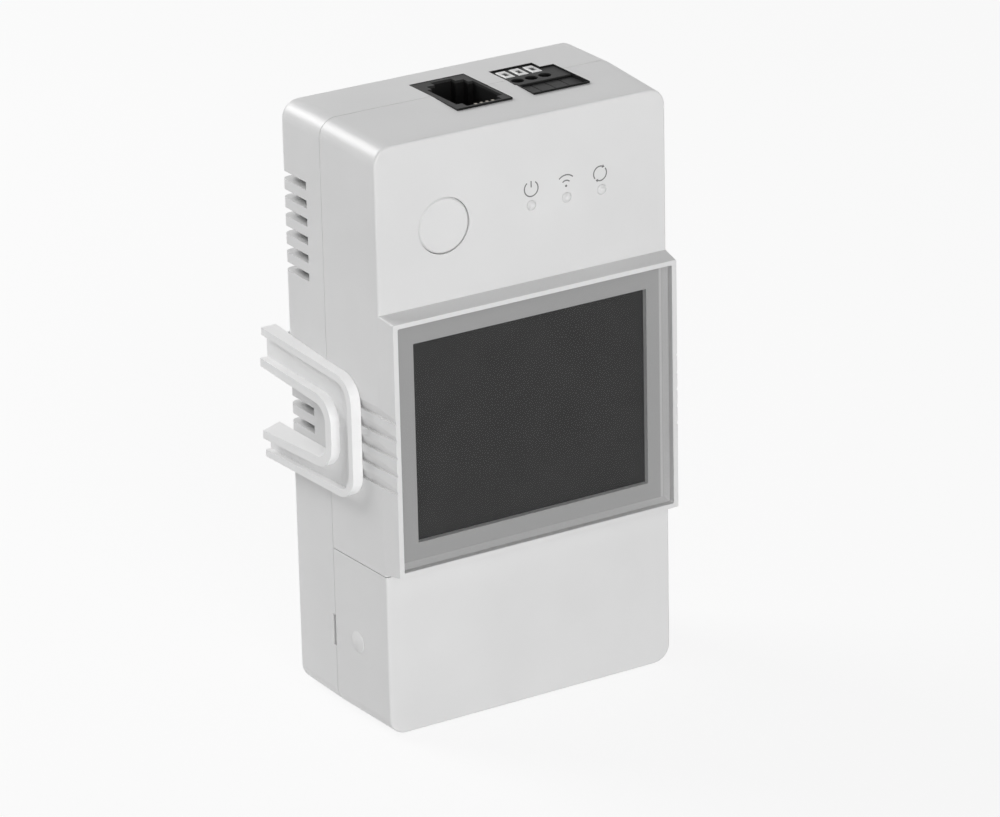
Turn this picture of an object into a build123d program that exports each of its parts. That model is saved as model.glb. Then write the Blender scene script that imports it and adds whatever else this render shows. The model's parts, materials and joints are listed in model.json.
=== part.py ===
from build123d import *
import math
import os

# Wall-mounted relay switch with a temperature and humidity display.
# +X is right as seen from the front, +Y is back, +Z is up. The part stands on z = 0 and its
# bounding box is centred on x = 0 and y = 0. All lengths are in millimetres.

os.makedirs("parts", exist_ok=True)

# Housing, overall
body_width = 54.0
body_height = 98.0
body_depth = 27.5
parting_depth = 15.1
corner_radius = 3.0
wall = 2.0
side_draft = 0.7
rear_round = 1.3
front_round = 0.4
seam_gap = 0.12
drop_in_gap = 0.1

# Screen surround on the front face
bezel_height = 3.5
bezel_root = 0.4
rim_inset = 1.15
rim_width = body_width - 2 * rim_inset
rim_height = 41.8
rim_corner = 0.25
rim_wall = 0.9
lens_corner = 0.25
bezel_spread = 1.3
lens_rise = 0.2
screen_centre_up = body_height / 2
lens_thickness = 1.8
mask_thickness = 0.9
window_border_side = 4.55
window_border_end = 4.45
window_width = rim_width - 2 * window_border_side
window_height = rim_height - 2 * window_border_end
panel_margin = 1.3
panel_thickness = 2.2
backlight_thickness = 4.3

# Split between the front shell and the terminal cover
split_drop = 0.9
split_up = screen_centre_up - rim_height / 2 - split_drop
cover_gap = 0.15
end_wall = 1.5
end_wall_top = split_up + cover_gap / 2 + end_wall

# Legs and pressing domes of the terminal cover
leg_thickness = 1.0
leg_width = 6.0
leg_reach = 2.5
leg_root = 6.0
press_below_split = 14.0
press_up = split_up - press_below_split
dome_diameter = 3.7
dome_height = 0.45
dome_depth_in = 8.9
notch_depth = 1.0
notch_reach = 1.2
notch_height = 5.3
notch_drop = 0.25
notch_low = press_up - notch_height / 2 - notch_drop

# Grip louvres on both sides
louvre_count = 5
louvre_pitch = 2.9
louvre_height = 1.62
louvre_depth = 0.5
louvre_drop = 0.23
louvre_centre_up = screen_centre_up - louvre_drop
louvre_run = 12.0

# Vents in the sides of the rear shell
vent_pitch = 3.0
vent_height = 1.35
vent_length = 7.75
vent_front_depth = body_depth - vent_length
vent_overlap = 0.1
upper_vent_count = 6
upper_vent_drop = 11.3
upper_vent_top = body_height - upper_vent_drop
lower_vent_count = 3
lower_vent_rise = 3.3
lower_vent_top = screen_centre_up + lower_vent_rise

# Power button and light guide
button_diameter = 8.95
button_gap = 0.1
button_from_side = 12.75
button_drop = 15.3
button_x = button_from_side - body_width / 2
button_up = body_height - button_drop
button_flange = 0.8
button_flange_rim = 0.8
button_round = 0.25
button_travel = 0.4
flange_gap = 0.05
press_gap = 0.05
nub_diameter = 2.6
tact_side = 6.0
tact_height = 2.0
tact_hole_depth = 1.6
plunger_diameter = 3.2
plunger_length = 1.5
plunger_fit = 0.08
led_width = 1.6
led_height = 0.8
led_thickness = 0.6
guide_post_side = 1.8
guide_led_gap = 0.3
nub_length = 0.3
light_x_first = 1.55
light_pitch = 6.45
light_drop = 15.2
light_up = body_height - light_drop
light_diameter = 1.6
light_dome = 0.35
guide_bar_height = 3.0
guide_bar_thickness = 1.0

# Boards
board_thickness = 1.6
main_board_behind = 5.5
main_board_depth = body_depth - main_board_behind
board_edge_gap = 1.5
display_board_side_gap = 1.0
display_board_low_gap = 0.725
display_board_drop = 8.5
display_board_width = body_width - 2 * wall - 2 * display_board_side_gap
display_board_low = end_wall_top + display_board_low_gap
display_board_high = body_height - display_board_drop
display_post_inset = 2.5
display_post_x = display_board_width / 2 - display_post_inset
display_post_drop = 3.5
display_post_diameter = 3.8
ledge_x = 12.0
ledge_width = 6.0
ledge_overlap = 0.975
ledge_height = display_board_low_gap + ledge_overlap
lip_gap = 0.3
main_board_low_gap = 1.0
main_board_high_gap = 2.0
main_board_low = wall + main_board_low_gap
main_board_high = body_height - wall - main_board_high_gap
notch_gap = 0.3
board_post_diameter = 4.5
low_post_from_side = 6.0
low_post_rise = 1.725
high_post_from_side = 8.0
high_post_drop = 21.0
board_posts = [
    (side * (body_width / 2 - from_side), up)
    for side in (-1, 1)
    for from_side, up in (
        (low_post_from_side, end_wall_top + low_post_rise),
        (high_post_from_side, body_height - high_post_drop),
    )
]
wifi_drop = 26.0
wifi_from_side = 15.0
wifi_x = wifi_from_side - body_width / 2
wifi_up = body_height - wifi_drop
wifi_width = 16.0
wifi_height = 18.0
wifi_board = 0.8
shield_side = 14.0
shield_height = 2.4
header_from_side = 13.5
header_drop = 25.0
header_x = body_width / 2 - header_from_side
header_up = body_height - header_drop
header_pins = 6
header_pitch = 2.54
header_pin = 0.64
header_block = 2.5
header_tail = 1.2

# Screws
screw_from_side = 4.6
screw_from_top = 4.6
screw_below_split = 4.7
screw_x = body_width / 2 - screw_from_side
screw_up_high = body_height - screw_from_top
screw_up_low = split_up - screw_below_split
screw_diameter = 2.2
screw_head_diameter = 4.4
screw_head_height = 1.5
screw_length = 16.0
cross_width = 0.6
cross_depth = 0.5
boss_diameter = 5.4
ear_half = 1.9
boss_hole_gap = 0.15
counterbore_diameter = 4.8
counterbore_depth = 1.9
shank_fit = 0.05
small_screw_diameter = 1.6
small_screw_head = 3.2
small_screw_head_height = 1.0
small_screw_length = 3.2
display_screw_length = 3.6

# Push-in terminal in the top face
push_from_side = 9.8
push_width = 10.1
push_front_depth = 7.5
push_behind = 4.0
push_height = 12.0
push_step = 0.4
push_right = body_width / 2 - push_from_side
push_left = push_right - push_width
push_back_depth = main_board_depth - push_behind
key_count = 3
key_pitch = 2.5
key_width = 1.75
key_length = 5.0
key_gap = 0.08
key_travel = 1.2
key_proud = 0.25
key_back_wall = 0.4
key_dish_width = 0.9
key_dish_length = 1.7
key_dish_depth = 0.5
key_row_overhang = 0.2
key_row_width = 7.85
key_row_behind = 1.5
key_row_run = 3.65
key_inset = 1.55
key_row_left = push_left - key_row_overhang
key_row_right = key_row_left + key_row_width
key_row_back_depth = main_board_depth - key_row_behind
key_front_depth = key_row_back_depth - key_row_run
key_first_x = push_left + key_inset
wire_hole_diameter = 2.1
wire_hole_reach = 8.0
wire_hole_before_key = 2.05
step_before_wire = 2.05
wire_hole_depth_in = key_front_depth - wire_hole_before_key
push_step_depth = wire_hole_depth_in - step_before_wire
divider_count = 4
divider_width = 0.18
divider_depth = 0.2
solder_pin = 0.6
solder_hole = 1.1
solder_tail = 1.0
solder_pin_drop = 8.0
solder_pin_up = body_height - solder_pin_drop

# Sensor jack in the top face
jack_to_push = 4.0
jack_width = 9.85
jack_front_depth = 7.6
jack_height = 15.5
jack_recess = 0.5
jack_right = push_left - jack_to_push
jack_left = jack_right - jack_width
jack_side = 1.05
jack_other_side = 0.5
plug_left = jack_left + jack_side
plug_right = jack_right - jack_other_side
plug_front_depth = 9.6
plug_behind = 3.7
plug_back_depth = main_board_depth - plug_behind
throat_inset = 1.0
throat_front_depth = 8.1
throat_left = plug_left + throat_inset
throat_right = plug_right - throat_inset
plug_step_inset = 0.8
plug_step_behind = 2.2
plug_step_left = plug_left + plug_step_inset
plug_step_right = plug_right - plug_step_inset
plug_step_depth = main_board_depth - plug_step_behind
latch_inset = 2.25
latch_behind = 0.8
latch_left = plug_left + latch_inset
latch_right = plug_right - latch_inset
latch_depth = main_board_depth - latch_behind
plug_reach = 12.5
contact_root_depth = 11.0
contact_tip_depth = 8.9
contact_tip_drop = 2.0
contact_bend_up = 3.0
contact_foot = 1.6
contact_slot = 0.5
contact_count = 4
contact_pitch = 1.02
contact_wire = 0.45

# Parts on the main board
relay_from_side = 14.65
relay_above_wall = 2.225
relay_width = 12.7
relay_height = 29.0
relay_front_depth = 8.0
relay_x = body_width / 2 - relay_from_side
relay_up = end_wall_top + relay_above_wall + relay_height / 2
relay_thickness = main_board_depth - relay_front_depth
capacitor_diameter = 8.0
capacitor_round = 0.6
capacitor_apart = 9.0
capacitor_gap = 1.0
capacitor_front_depth = 10.0
capacitor_up = wifi_up - wifi_height / 2 - capacitor_gap - capacitor_diameter / 2
capacitor_length = main_board_depth - capacitor_front_depth
core_from_side = 14.0
core_above_wall = 4.225
core_below_capacitors = 3.0
core_width = 16.0
core_thickness = 6.0
core_leg = 4.0
core_window_width = 3.3
core_yoke = 3.5
core_front_depth = 12.0
core_x = core_from_side - body_width / 2
core_low = end_wall_top + core_above_wall
core_height = capacitor_up - capacitor_diameter / 2 - core_below_capacitors - core_low
core_up = core_low + core_height / 2
core_window_height = core_height - 2 * core_yoke
capacitor_places = [(core_x + side * capacitor_apart / 2, capacitor_up) for side in (-1, 1)]
bobbin_gap = 0.05
bobbin_front_depth = 9.8
fuse_from_side = 13.0
fuse_below_split = 0.2
fuse_diameter = 8.0
fuse_behind_seam = 0.9
fuse_x = fuse_from_side - body_width / 2
fuse_up = split_up - fuse_below_split
fuse_length = main_board_depth - parting_depth - fuse_behind_seam
varistor_x = 0.5
varistor_above_wall = 3.225
varistor_diameter = 10.0
varistor_thickness = 4.0
varistor_before_board = 6.5
varistor_lead = 0.8
varistor_lead_gap = 7.5
varistor_up = end_wall_top + varistor_above_wall + varistor_diameter / 2
varistor_depth_in = main_board_depth - varistor_before_board

# Mains terminal block
pole_count = 6
block_from_side = 7.45
block_side = 0.5
block_low = main_board_low
block_below_split = 6.2
block_thickness = 14.0
block_width = body_width - 2 * block_from_side
block_height = split_up - block_below_split - block_low
pole_pitch = (block_width - 2 * block_side) / pole_count
terminal_hole_diameter = 4.0
terminal_screw_head = 3.84
terminal_screw_head_height = 1.6
terminal_screw_diameter = 2.9
terminal_screw_length = 5.0
terminal_screw_recess = 1.5
terminal_fit = 0.06
clamp_width = 4.6
clamp_height = 6.0
clamp_depth = 9.0
clamp_wall = 1.1
clamp_low = 4.0
clamp_gap = 0.05
slot_width = 0.7
slot_depth = 0.8
wire_entry_diameter = 3.6
wire_entry_before_board = 4.8
wire_entry_depth_in = main_board_depth - wire_entry_before_board
block_rib = 0.4

# Cable windows in the bottom of the rear shell
cable_window_count = 3
cable_window_bar = 2.5
cable_window_from_side = 3.75
cable_window_depth = 6.5
cable_window_behind = 10.9
cable_window_pitch = (body_width - 2 * cable_window_from_side) / cable_window_count
cable_window_width = cable_window_pitch - cable_window_bar
cable_window_front_depth = body_depth - cable_window_behind
cable_window_corner = 0.8

# Side clips
clip_overhang = 3.5
clip_base_depth = 5.7
clip_corner = 4.4
clip_rise_front = 9.3
clip_rise_rear = 10.95
clip_drop_front = 10.85
clip_drop_rear = 10.9
clip_top_front = screen_centre_up + clip_rise_front
clip_top_rear = screen_centre_up + clip_rise_rear
clip_low_front = screen_centre_up - clip_drop_front
clip_low_rear = screen_centre_up - clip_drop_rear
outer_flange = 1.17
inner_flange = 1.37
slot_base_depth = 12.45
slot_corner = 3.0
slot_rise_front = 3.2
slot_rise_rear = 4.65
slot_drop_front = 5.95
slot_drop_rear = 6.45
slot_top_front = screen_centre_up + slot_rise_front
slot_top_rear = screen_centre_up + slot_rise_rear
slot_low_front = screen_centre_up - slot_drop_front
slot_low_rear = screen_centre_up - slot_drop_rear
flange_stand = 1.35
flange_reach = body_width / 2 + flange_stand
flange_flare = 0.053
inner_flange_extra = 0.37
web_stand = 0.13
web_reach = body_width / 2 + web_stand
web_flare = 0.067
web_lead = 1.17
clip_gap = 0.04
pad_extra = 0.75
pad_drop = 0.2
pad_inset = 0.1
peg_diameter = 2.6
peg_length = 1.9
peg_fit = 0.06
peg_behind = 6.0
peg_depth_in = body_depth - peg_behind
peg_drop = 8.6
peg_rise = 7.8
peg_low_up = screen_centre_up - peg_drop
peg_high_up = screen_centre_up + peg_rise
slot_draft = 15.0

# Wall-mounting keyholes in the rear face
keyhole_head = 6.5
keyhole_slot = 3.4
keyhole_rise = 5.0
keyhole_drop = 19.0
keyhole_above_split = 7.8
keyhole_up_high = body_height - keyhole_drop
keyhole_up_low = split_up + keyhole_above_split

# Places that follow from the sizes above
jack_top = body_height - jack_recess
front_y = (bezel_height - body_depth - clip_overhang) / 2
parting_y = front_y + parting_depth
rear_y = front_y + body_depth
rim_y = front_y - bezel_height
clip_end_y = rear_y + clip_overhang
main_board_y = front_y + main_board_depth
inner_half = body_width / 2 - wall
cavity_front_y = front_y + wall
draft_slope = side_draft / parting_depth
front_half = body_width / 2 - side_draft
top_front = body_height - side_draft
cavity_back_y = rear_y - wall
lens_width = rim_width - 2 * rim_wall
lens_height = rim_height - 2 * rim_wall + lens_rise
mask_y = rim_y + lens_thickness
panel_y = mask_y + mask_thickness
backlight_y = panel_y + panel_thickness
display_board_y = backlight_y + backlight_thickness
panel_width = window_width + 2 * panel_margin
panel_height = window_height + 2 * panel_margin
light_places = [(light_x_first + i * light_pitch, light_up) for i in range(3)]
screw_places = [
    (sx * screw_x, up) for sx in (-1, 1) for up in (screw_up_low, screw_up_high)
]
low_screw_places = [(sx * screw_x, screw_up_low) for sx in (-1, 1)]
high_screw_places = [(sx * screw_x, screw_up_high) for sx in (-1, 1)]
pole_places = [((i - (pole_count - 1) / 2) * pole_pitch) for i in range(pole_count)]
key_places = [key_first_x + i * key_pitch for i in range(key_count)]
peg_places = [(front_y + peg_depth_in, up) for up in (peg_low_up, peg_high_up)]
window_places = [
    (
        (i - (cable_window_count - 1) / 2) * cable_window_pitch,
        front_y + cable_window_front_depth + cable_window_depth / 2,
    )
    for i in range(cable_window_count)
]
block_front_y = main_board_y - block_thickness
terminal_up = block_low + clamp_low + clamp_height / 2
terminal_places = [(x, terminal_up) for x in pole_places]
clamp_front_y = block_front_y + terminal_screw_recess + terminal_screw_head_height
clamp_middle_y = clamp_front_y + clamp_depth / 2
button_place = (button_x, button_up)
clip_base_y = front_y + clip_base_depth
slot_base_y = front_y + slot_base_depth
slot_outer_x = flange_reach + inner_flange_extra + flange_flare * (clip_end_y - clip_base_y)
web_base = web_reach - web_flare * web_lead
plunger_y = cavity_front_y + flange_gap + button_flange + nub_length + press_gap
contact_x = [
    (throat_left + throat_right) / 2 + (i - (contact_count - 1) / 2) * contact_pitch
    for i in range(contact_count)
]
header_places = [
    (header_x + (i - (header_pins - 1) / 2) * header_pitch, header_up) for i in range(header_pins)
]
pin_places = [(x, solder_pin_up) for x in key_places] + [
    (contact_x[0], solder_pin_up),
    (contact_x[-1], solder_pin_up),
]
key_row_top = jack_top + key_proud
floor_up = jack_top - plug_reach
display_posts = [(side * display_post_x, display_board_high - display_post_drop) for side in (-1, 1)]


def facing(y):
    """Plane parallel to the front face at the given y, its normal towards the viewer."""
    return Plane.XZ.offset(-y)


def patch(left, right, near, far):
    """Rectangle on a level plane, between two x values and two depths behind the front face."""
    with Locations(((left + right) / 2, front_y + (near + far) / 2)):
        Rectangle(right - left, far - near)


def inset_at(depth):
    """How far the drafted sides have drawn in at a depth behind the front face."""
    return side_draft - draft_slope * depth


dome_radius = (dome_diameter**2 / 4 + dome_height**2) / (2 * dome_height)
dome_angle = math.degrees(math.asin(dome_diameter / 2 / dome_radius))
dome_x = body_width / 2 - inset_at(dome_depth_in)
dome_y = front_y + dome_depth_in

def draft_plane(up):
    """Drafted top: level with a height at the parting line and falling towards the front."""
    return Plane(origin=(0, parting_y, up), z_dir=(0, -draft_slope, 1))


def depth_edges(builder):
    """The edges of a block that run from front to back."""
    return builder.edges().filter_by(Axis.X, reverse=True).filter_by(Axis.Z, reverse=True)


# Outer form of everything in front of the parting line: drafted, flat underneath
with BuildPart() as front_form:
    with BuildSketch(Plane.XY):
        with BuildLine():
            Polyline(
                (-body_width / 2, parting_y),
                (-front_half, front_y),
                (front_half, front_y),
                (body_width / 2, parting_y),
                close=True,
            )
        make_face()
    extrude(amount=body_height)
    split(bisect_by=draft_plane(body_height), keep=Keep.BOTTOM)
    fillet(depth_edges(front_form), corner_radius)
    fillet(front_form.faces().sort_by(Axis.Y)[0].edges(), front_round)

# Space inside that form
with BuildPart() as front_cavity:
    with BuildSketch(Plane.XY.offset(wall)):
        with BuildLine():
            Polyline(
                (-inner_half, parting_y),
                (inset_at(wall) - inner_half, cavity_front_y),
                (inner_half - inset_at(wall), cavity_front_y),
                (inner_half, parting_y),
                close=True,
            )
        make_face()
    extrude(amount=body_height)
    split(bisect_by=draft_plane(body_height - wall), keep=Keep.BOTTOM)
    fillet(depth_edges(front_cavity), corner_radius - wall)

# Raised surround of the screen, its four sides sloping in towards the rim
with BuildPart() as surround:
    with BuildSketch(Plane.XY.offset(screen_centre_up - rim_height)):
        with BuildLine():
            Polyline(
                (-front_half, front_y + bezel_root),
                (-rim_width / 2, rim_y),
                (rim_width / 2, rim_y),
                (front_half, front_y + bezel_root),
                close=True,
            )
        make_face()
    extrude(amount=2 * rim_height)
    with BuildSketch(Plane.YZ.offset(-front_half)):
        with BuildLine():
            Polyline(
                (front_y + bezel_root, screen_centre_up - (rim_height + bezel_spread) / 2),
                (rim_y, screen_centre_up - rim_height / 2),
                (rim_y, screen_centre_up + rim_height / 2),
                (front_y + bezel_root, screen_centre_up + (rim_height + bezel_spread) / 2),
                close=True,
            )
        make_face()
    extrude(amount=2 * front_half, mode=Mode.INTERSECT)
    fillet(depth_edges(surround), rim_corner)

# Cut-out in the top wall for the sensor jack and the push-in terminal
with BuildPart() as top_cutouts:
    with BuildSketch(Plane.XY.offset(body_height - wall - corner_radius)):
        patch(
            jack_left - drop_in_gap,
            jack_right + drop_in_gap,
            jack_front_depth - drop_in_gap,
            main_board_depth + drop_in_gap,
        )
        patch(
            push_left - drop_in_gap,
            push_right + drop_in_gap,
            push_front_depth - drop_in_gap,
            push_back_depth + drop_in_gap,
        )
        patch(
            key_row_left - drop_in_gap,
            key_row_right + drop_in_gap,
            push_step_depth - drop_in_gap,
            key_row_back_depth + drop_in_gap,
        )
    extrude(amount=2 * wall + corner_radius)

# The part of that space that the front shell keeps
with BuildPart() as upper_cavity:
    add(front_cavity.part)
    split(bisect_by=Plane.XY.offset(end_wall_top), keep=Keep.TOP)

# Front shell with the raised screen surround
with BuildPart() as front_shell:
    add(front_form.part)
    add(surround.part)
    split(bisect_by=Plane.XY.offset(split_up + cover_gap / 2), keep=Keep.TOP)
    add(upper_cavity.part, mode=Mode.SUBTRACT)
    with BuildSketch(facing(rim_y)):
        with Locations((0, screen_centre_up)):
            RectangleRounded(lens_width + drop_in_gap, lens_height + drop_in_gap, lens_corner)
    extrude(amount=-(lens_thickness + mask_thickness), mode=Mode.SUBTRACT)
    with BuildSketch(facing(rim_y)):
        with Locations((0, screen_centre_up)):
            Rectangle(panel_width + drop_in_gap, panel_height + drop_in_gap)
    extrude(amount=-(bezel_height + 2 * wall), mode=Mode.SUBTRACT)
    with BuildSketch(facing(front_y - bezel_root)):
        with Locations((button_x, button_up)):
            Circle(button_diameter / 2 + button_gap)
        with Locations(*light_places):
            Circle((light_diameter + drop_in_gap) / 2)
    extrude(amount=-(2 * wall), mode=Mode.SUBTRACT)
    # Grip louvres: each starts flush at its top edge and ends in a step facing up
    for side in (-1, 1):
        with BuildSketch(facing(front_y)) as louvres:
            for i in range(louvre_count):
                low = louvre_centre_up + (i - (louvre_count - 1) / 2) * louvre_pitch - louvre_height / 2
                with BuildLine():
                    Polyline(
                        (side * front_half, low + louvre_height),
                        (side * (front_half - louvre_depth), low),
                        (side * (body_width / 2 + wall), low),
                        (side * (body_width / 2 + wall), low + louvre_height),
                        close=True,
                    )
                make_face()
        extrude(amount=louvre_run, dir=(side * draft_slope, 1, 0), mode=Mode.SUBTRACT)
        extrude(
            louvres.sketch,
            amount=bezel_height + bezel_root,
            dir=(-side * draft_slope, -1, 0),
            mode=Mode.SUBTRACT,
        )
    # Screw bosses: two under the top wall, two on ears below the end wall
    with BuildSketch(facing(cavity_front_y - bezel_root)):
        with Locations(*high_screw_places):
            Circle(boss_diameter / 2)
    extrude(amount=-(parting_depth - wall + bezel_root))
    with BuildSketch(facing(parting_y)):
        with Locations(*low_screw_places):
            Rectangle(2 * ear_half, boss_diameter)
        for side in (-1, 1):
            with Locations((side * screw_x, (screw_up_low + end_wall_top) / 2)):
                Rectangle(2 * ear_half, end_wall_top - screw_up_low)
    extrude(amount=parting_depth - 3 * wall)
    with BuildSketch(facing(parting_y)):
        with Locations(*screw_places):
            Circle(screw_diameter / 2)
    extrude(amount=screw_length / 2, mode=Mode.SUBTRACT)
    # Posts and a ledge that carry the display board
    with BuildSketch(facing(cavity_front_y - bezel_root)):
        with Locations(*display_posts):
            Circle(display_post_diameter / 2)
        with Locations(*[(side * ledge_x, end_wall_top + ledge_height / 2) for side in (-1, 1)]):
            Rectangle(ledge_width, ledge_height)
    extrude(amount=-(display_board_y - cavity_front_y + bezel_root))
    with BuildSketch(facing(display_board_y)):
        with Locations(*display_posts):
            Circle(small_screw_diameter / 2)
    extrude(amount=display_screw_length, mode=Mode.SUBTRACT)
    # Lip that centres the front shell in the rear shell
    with BuildSketch(facing(parting_y)):
        with Locations((0, body_height / 2)):
            RectangleRounded(
                body_width - wall - drop_in_gap, body_height - wall - drop_in_gap, corner_radius - wall / 2
            )
            RectangleRounded(
                body_width - 2 * wall, body_height - 2 * wall, corner_radius - wall, mode=Mode.SUBTRACT
            )
        with Locations((0, end_wall_top / 2)):
            Rectangle(body_width, end_wall_top, mode=Mode.SUBTRACT)
    extrude(amount=-(wall / 2))
    add(top_cutouts.part, mode=Mode.SUBTRACT)
front_shell.part.label = "front_shell"
export_step(front_shell.part, "parts/front_shell.step")

# Terminal cover: the lower, removable end of the front
with BuildPart() as press_domes:
    with BuildSketch(Plane.XY.offset(press_up)):
        with BuildLine():
            cap = CenterArc(
                (dome_x + dome_height - dome_radius, dome_y), dome_radius, 0, dome_angle
            )
            Polyline(cap @ 0, (dome_x - wall / 2, dome_y), (dome_x - wall / 2, dome_y + dome_diameter / 2), cap @ 1)
        make_face()
    revolve(axis=Axis((0, dome_y, press_up), (1, 0, 0)))
    mirror(about=Plane.YZ)

with BuildPart() as terminal_cover:
    add(front_form.part)
    split(bisect_by=Plane.XY.offset(split_up - cover_gap / 2), keep=Keep.BOTTOM)
    add(front_cavity.part, mode=Mode.SUBTRACT)
    add(press_domes.part)
    for side in (-1, 1):
        with BuildSketch(facing(parting_y + leg_reach)):
            with Locations((side * (inner_half - drop_in_gap - leg_thickness / 2), press_up)):
                Rectangle(leg_thickness, leg_width)
        extrude(amount=leg_reach + leg_root)
        with BuildSketch(facing(parting_y - seam_gap)):
            with Locations((side * (inner_half - leg_thickness / 2 + drop_in_gap), press_up)):
                Rectangle(leg_thickness + 2 * drop_in_gap, leg_width)
        extrude(amount=leg_root - seam_gap)
terminal_cover.part.label = "terminal_cover"
export_step(terminal_cover.part, "parts/terminal_cover.step")

# Rear shell with vents, screw bosses, cable windows and keyholes
with BuildPart() as rear_shell:
    with BuildSketch(facing(parting_y + seam_gap)):
        with Locations((0, body_height / 2)):
            RectangleRounded(body_width, body_height, corner_radius)
    extrude(amount=-(rear_y - parting_y - seam_gap))
    fillet(rear_shell.faces().sort_by(Axis.Y)[-1].edges(), rear_round)
    # Squared pads under the arms of the side clips
    for low, high in ((clip_low_rear, slot_low_rear + pad_extra), (slot_top_rear - pad_extra, clip_top_rear)):
        with BuildSketch(facing(rear_y)):
            with Locations((0, (low + high - pad_drop) / 2)):
                Rectangle(body_width - 2 * pad_inset, high - low - pad_drop)
        extrude(amount=wall)
    with BuildSketch(facing(parting_y)):
        with Locations((0, body_height / 2)):
            RectangleRounded(2 * inner_half, body_height - 2 * wall, corner_radius - wall)
    extrude(amount=-(cavity_back_y - parting_y), mode=Mode.SUBTRACT)
    # Screw bosses and posts for the main board
    with BuildSketch(facing(parting_y + seam_gap)):
        with Locations(*screw_places):
            Circle(boss_diameter / 2)
    extrude(amount=-(rear_y - parting_y - seam_gap - wall / 2))
    with BuildSketch(facing(main_board_y + board_thickness)):
        with Locations(*board_posts):
            Circle(board_post_diameter / 2)
    extrude(amount=-(rear_y - main_board_y - board_thickness - wall / 2))
    # Rebate for the lip of the front shell
    with BuildSketch(facing(parting_y)):
        with Locations((0, body_height / 2)):
            RectangleRounded(body_width - wall, body_height - wall, corner_radius - wall / 2)
            RectangleRounded(2 * inner_half, body_height - 2 * wall, corner_radius - wall, mode=Mode.SUBTRACT)
        with Locations((0, (end_wall_top - lip_gap) / 2)):
            Rectangle(body_width, end_wall_top - lip_gap, mode=Mode.SUBTRACT)
    extrude(amount=-(wall / 2 + lip_gap), mode=Mode.SUBTRACT)
    with BuildSketch(facing(rear_y)):
        with Locations(*screw_places):
            Circle(counterbore_diameter / 2)
    extrude(amount=counterbore_depth, mode=Mode.SUBTRACT)
    with BuildSketch(facing(rear_y)):
        with Locations(*screw_places):
            Circle(screw_diameter / 2 + boss_hole_gap)
    extrude(amount=body_depth - parting_depth, mode=Mode.SUBTRACT)
    with BuildSketch(facing(main_board_y + board_thickness)):
        with Locations(*board_posts):
            Circle(small_screw_diameter / 2)
    extrude(amount=-(small_screw_length - board_thickness + wall / 4), mode=Mode.SUBTRACT)
    # Vents along the rear edge of both sides
    with BuildSketch(Plane.YZ.offset(-body_width)):
        for count, top in ((upper_vent_count, upper_vent_top), (lower_vent_count, lower_vent_top)):
            for i in range(count):
                with Locations(
                    (
                        front_y + vent_front_depth + body_depth / 2,
                        top - vent_height / 2 - i * vent_pitch,
                    )
                ):
                    Rectangle(body_depth, vent_height)
    extrude(amount=body_width - inner_half + vent_overlap, mode=Mode.SUBTRACT)
    split(bisect_by=Plane.YZ, keep=Keep.BOTTOM)
    mirror(about=Plane.YZ)
    # Holes for the clip pegs
    with BuildSketch(Plane.YZ.offset(-body_width)):
        with Locations(*peg_places):
            Circle(peg_diameter / 2 + peg_fit)
    extrude(amount=2 * body_width, mode=Mode.SUBTRACT)
    # Pry notches beside the terminal cover
    for side in (-1, 1):
        with BuildSketch(facing(parting_y)):
            with Locations((side * (body_width / 2 - notch_reach / 2 + wall / 2), notch_low + notch_height / 2)):
                Rectangle(notch_reach + wall, notch_height)
        extrude(amount=-notch_depth, mode=Mode.SUBTRACT)
    # Cable windows in the bottom wall
    with BuildSketch(Plane.XY.offset(-wall)):
        with Locations(*window_places):
            RectangleRounded(cable_window_width, cable_window_depth, cable_window_corner)
    extrude(amount=3 * wall, mode=Mode.SUBTRACT)
    # Keyholes: a head hole with a narrow slot above it
    with BuildSketch(facing(rear_y)):
        for up in (keyhole_up_low, keyhole_up_high):
            with Locations((0, up)):
                Circle(keyhole_head / 2)
            with Locations((0, up + keyhole_rise / 2)):
                SlotCenterToCenter(keyhole_rise, keyhole_slot, rotation=90)
    extrude(amount=2 * wall, mode=Mode.SUBTRACT)
    add(top_cutouts.part, mode=Mode.SUBTRACT)
rear_shell.part.label = "rear_shell"
export_step(rear_shell.part, "parts/rear_shell.step")

# Power button: disc, retaining flange and a nub towards the tact switch
with BuildPart() as power_button:
    with BuildSketch(facing(front_y)):
        with Locations(button_place):
            Circle(button_diameter / 2)
    extrude(amount=-(wall + flange_gap + button_flange / 2))
    chamfer(power_button.faces().sort_by(Axis.Y)[0].edges(), button_round)
    with BuildSketch(facing(cavity_front_y + flange_gap)):
        with Locations(button_place):
            Circle(button_diameter / 2 + button_flange_rim)
    extrude(amount=-button_flange)
    with BuildSketch(facing(plunger_y - press_gap)):
        with Locations(button_place):
            Circle(nub_diameter / 2)
    extrude(amount=nub_length + button_flange / 2)
power_button.part.label = "power_button"
export_step(power_button.part, "parts/power_button.step")

# Tact switch body on the display board
with BuildPart() as tact_switch:
    with BuildSketch(facing(display_board_y)):
        with Locations(button_place):
            Rectangle(tact_side, tact_side)
    extrude(amount=tact_height)
    chamfer(tact_switch.edges().filter_by(Axis.Y), button_round)
    with BuildSketch(facing(display_board_y - tact_height)):
        with Locations(button_place):
            Circle(plunger_diameter / 2 + plunger_fit)
    extrude(amount=-tact_hole_depth, mode=Mode.SUBTRACT)
tact_switch.part.label = "tact_switch"
export_step(tact_switch.part, "parts/tact_switch.step")

# Plunger of the tact switch
with BuildPart() as tact_plunger:
    with BuildSketch(facing(plunger_y)):
        with Locations(button_place):
            Circle(plunger_diameter / 2)
    extrude(amount=-plunger_length)
tact_plunger.part.label = "tact_plunger"
export_step(tact_plunger.part, "parts/tact_plunger.step")

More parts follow.
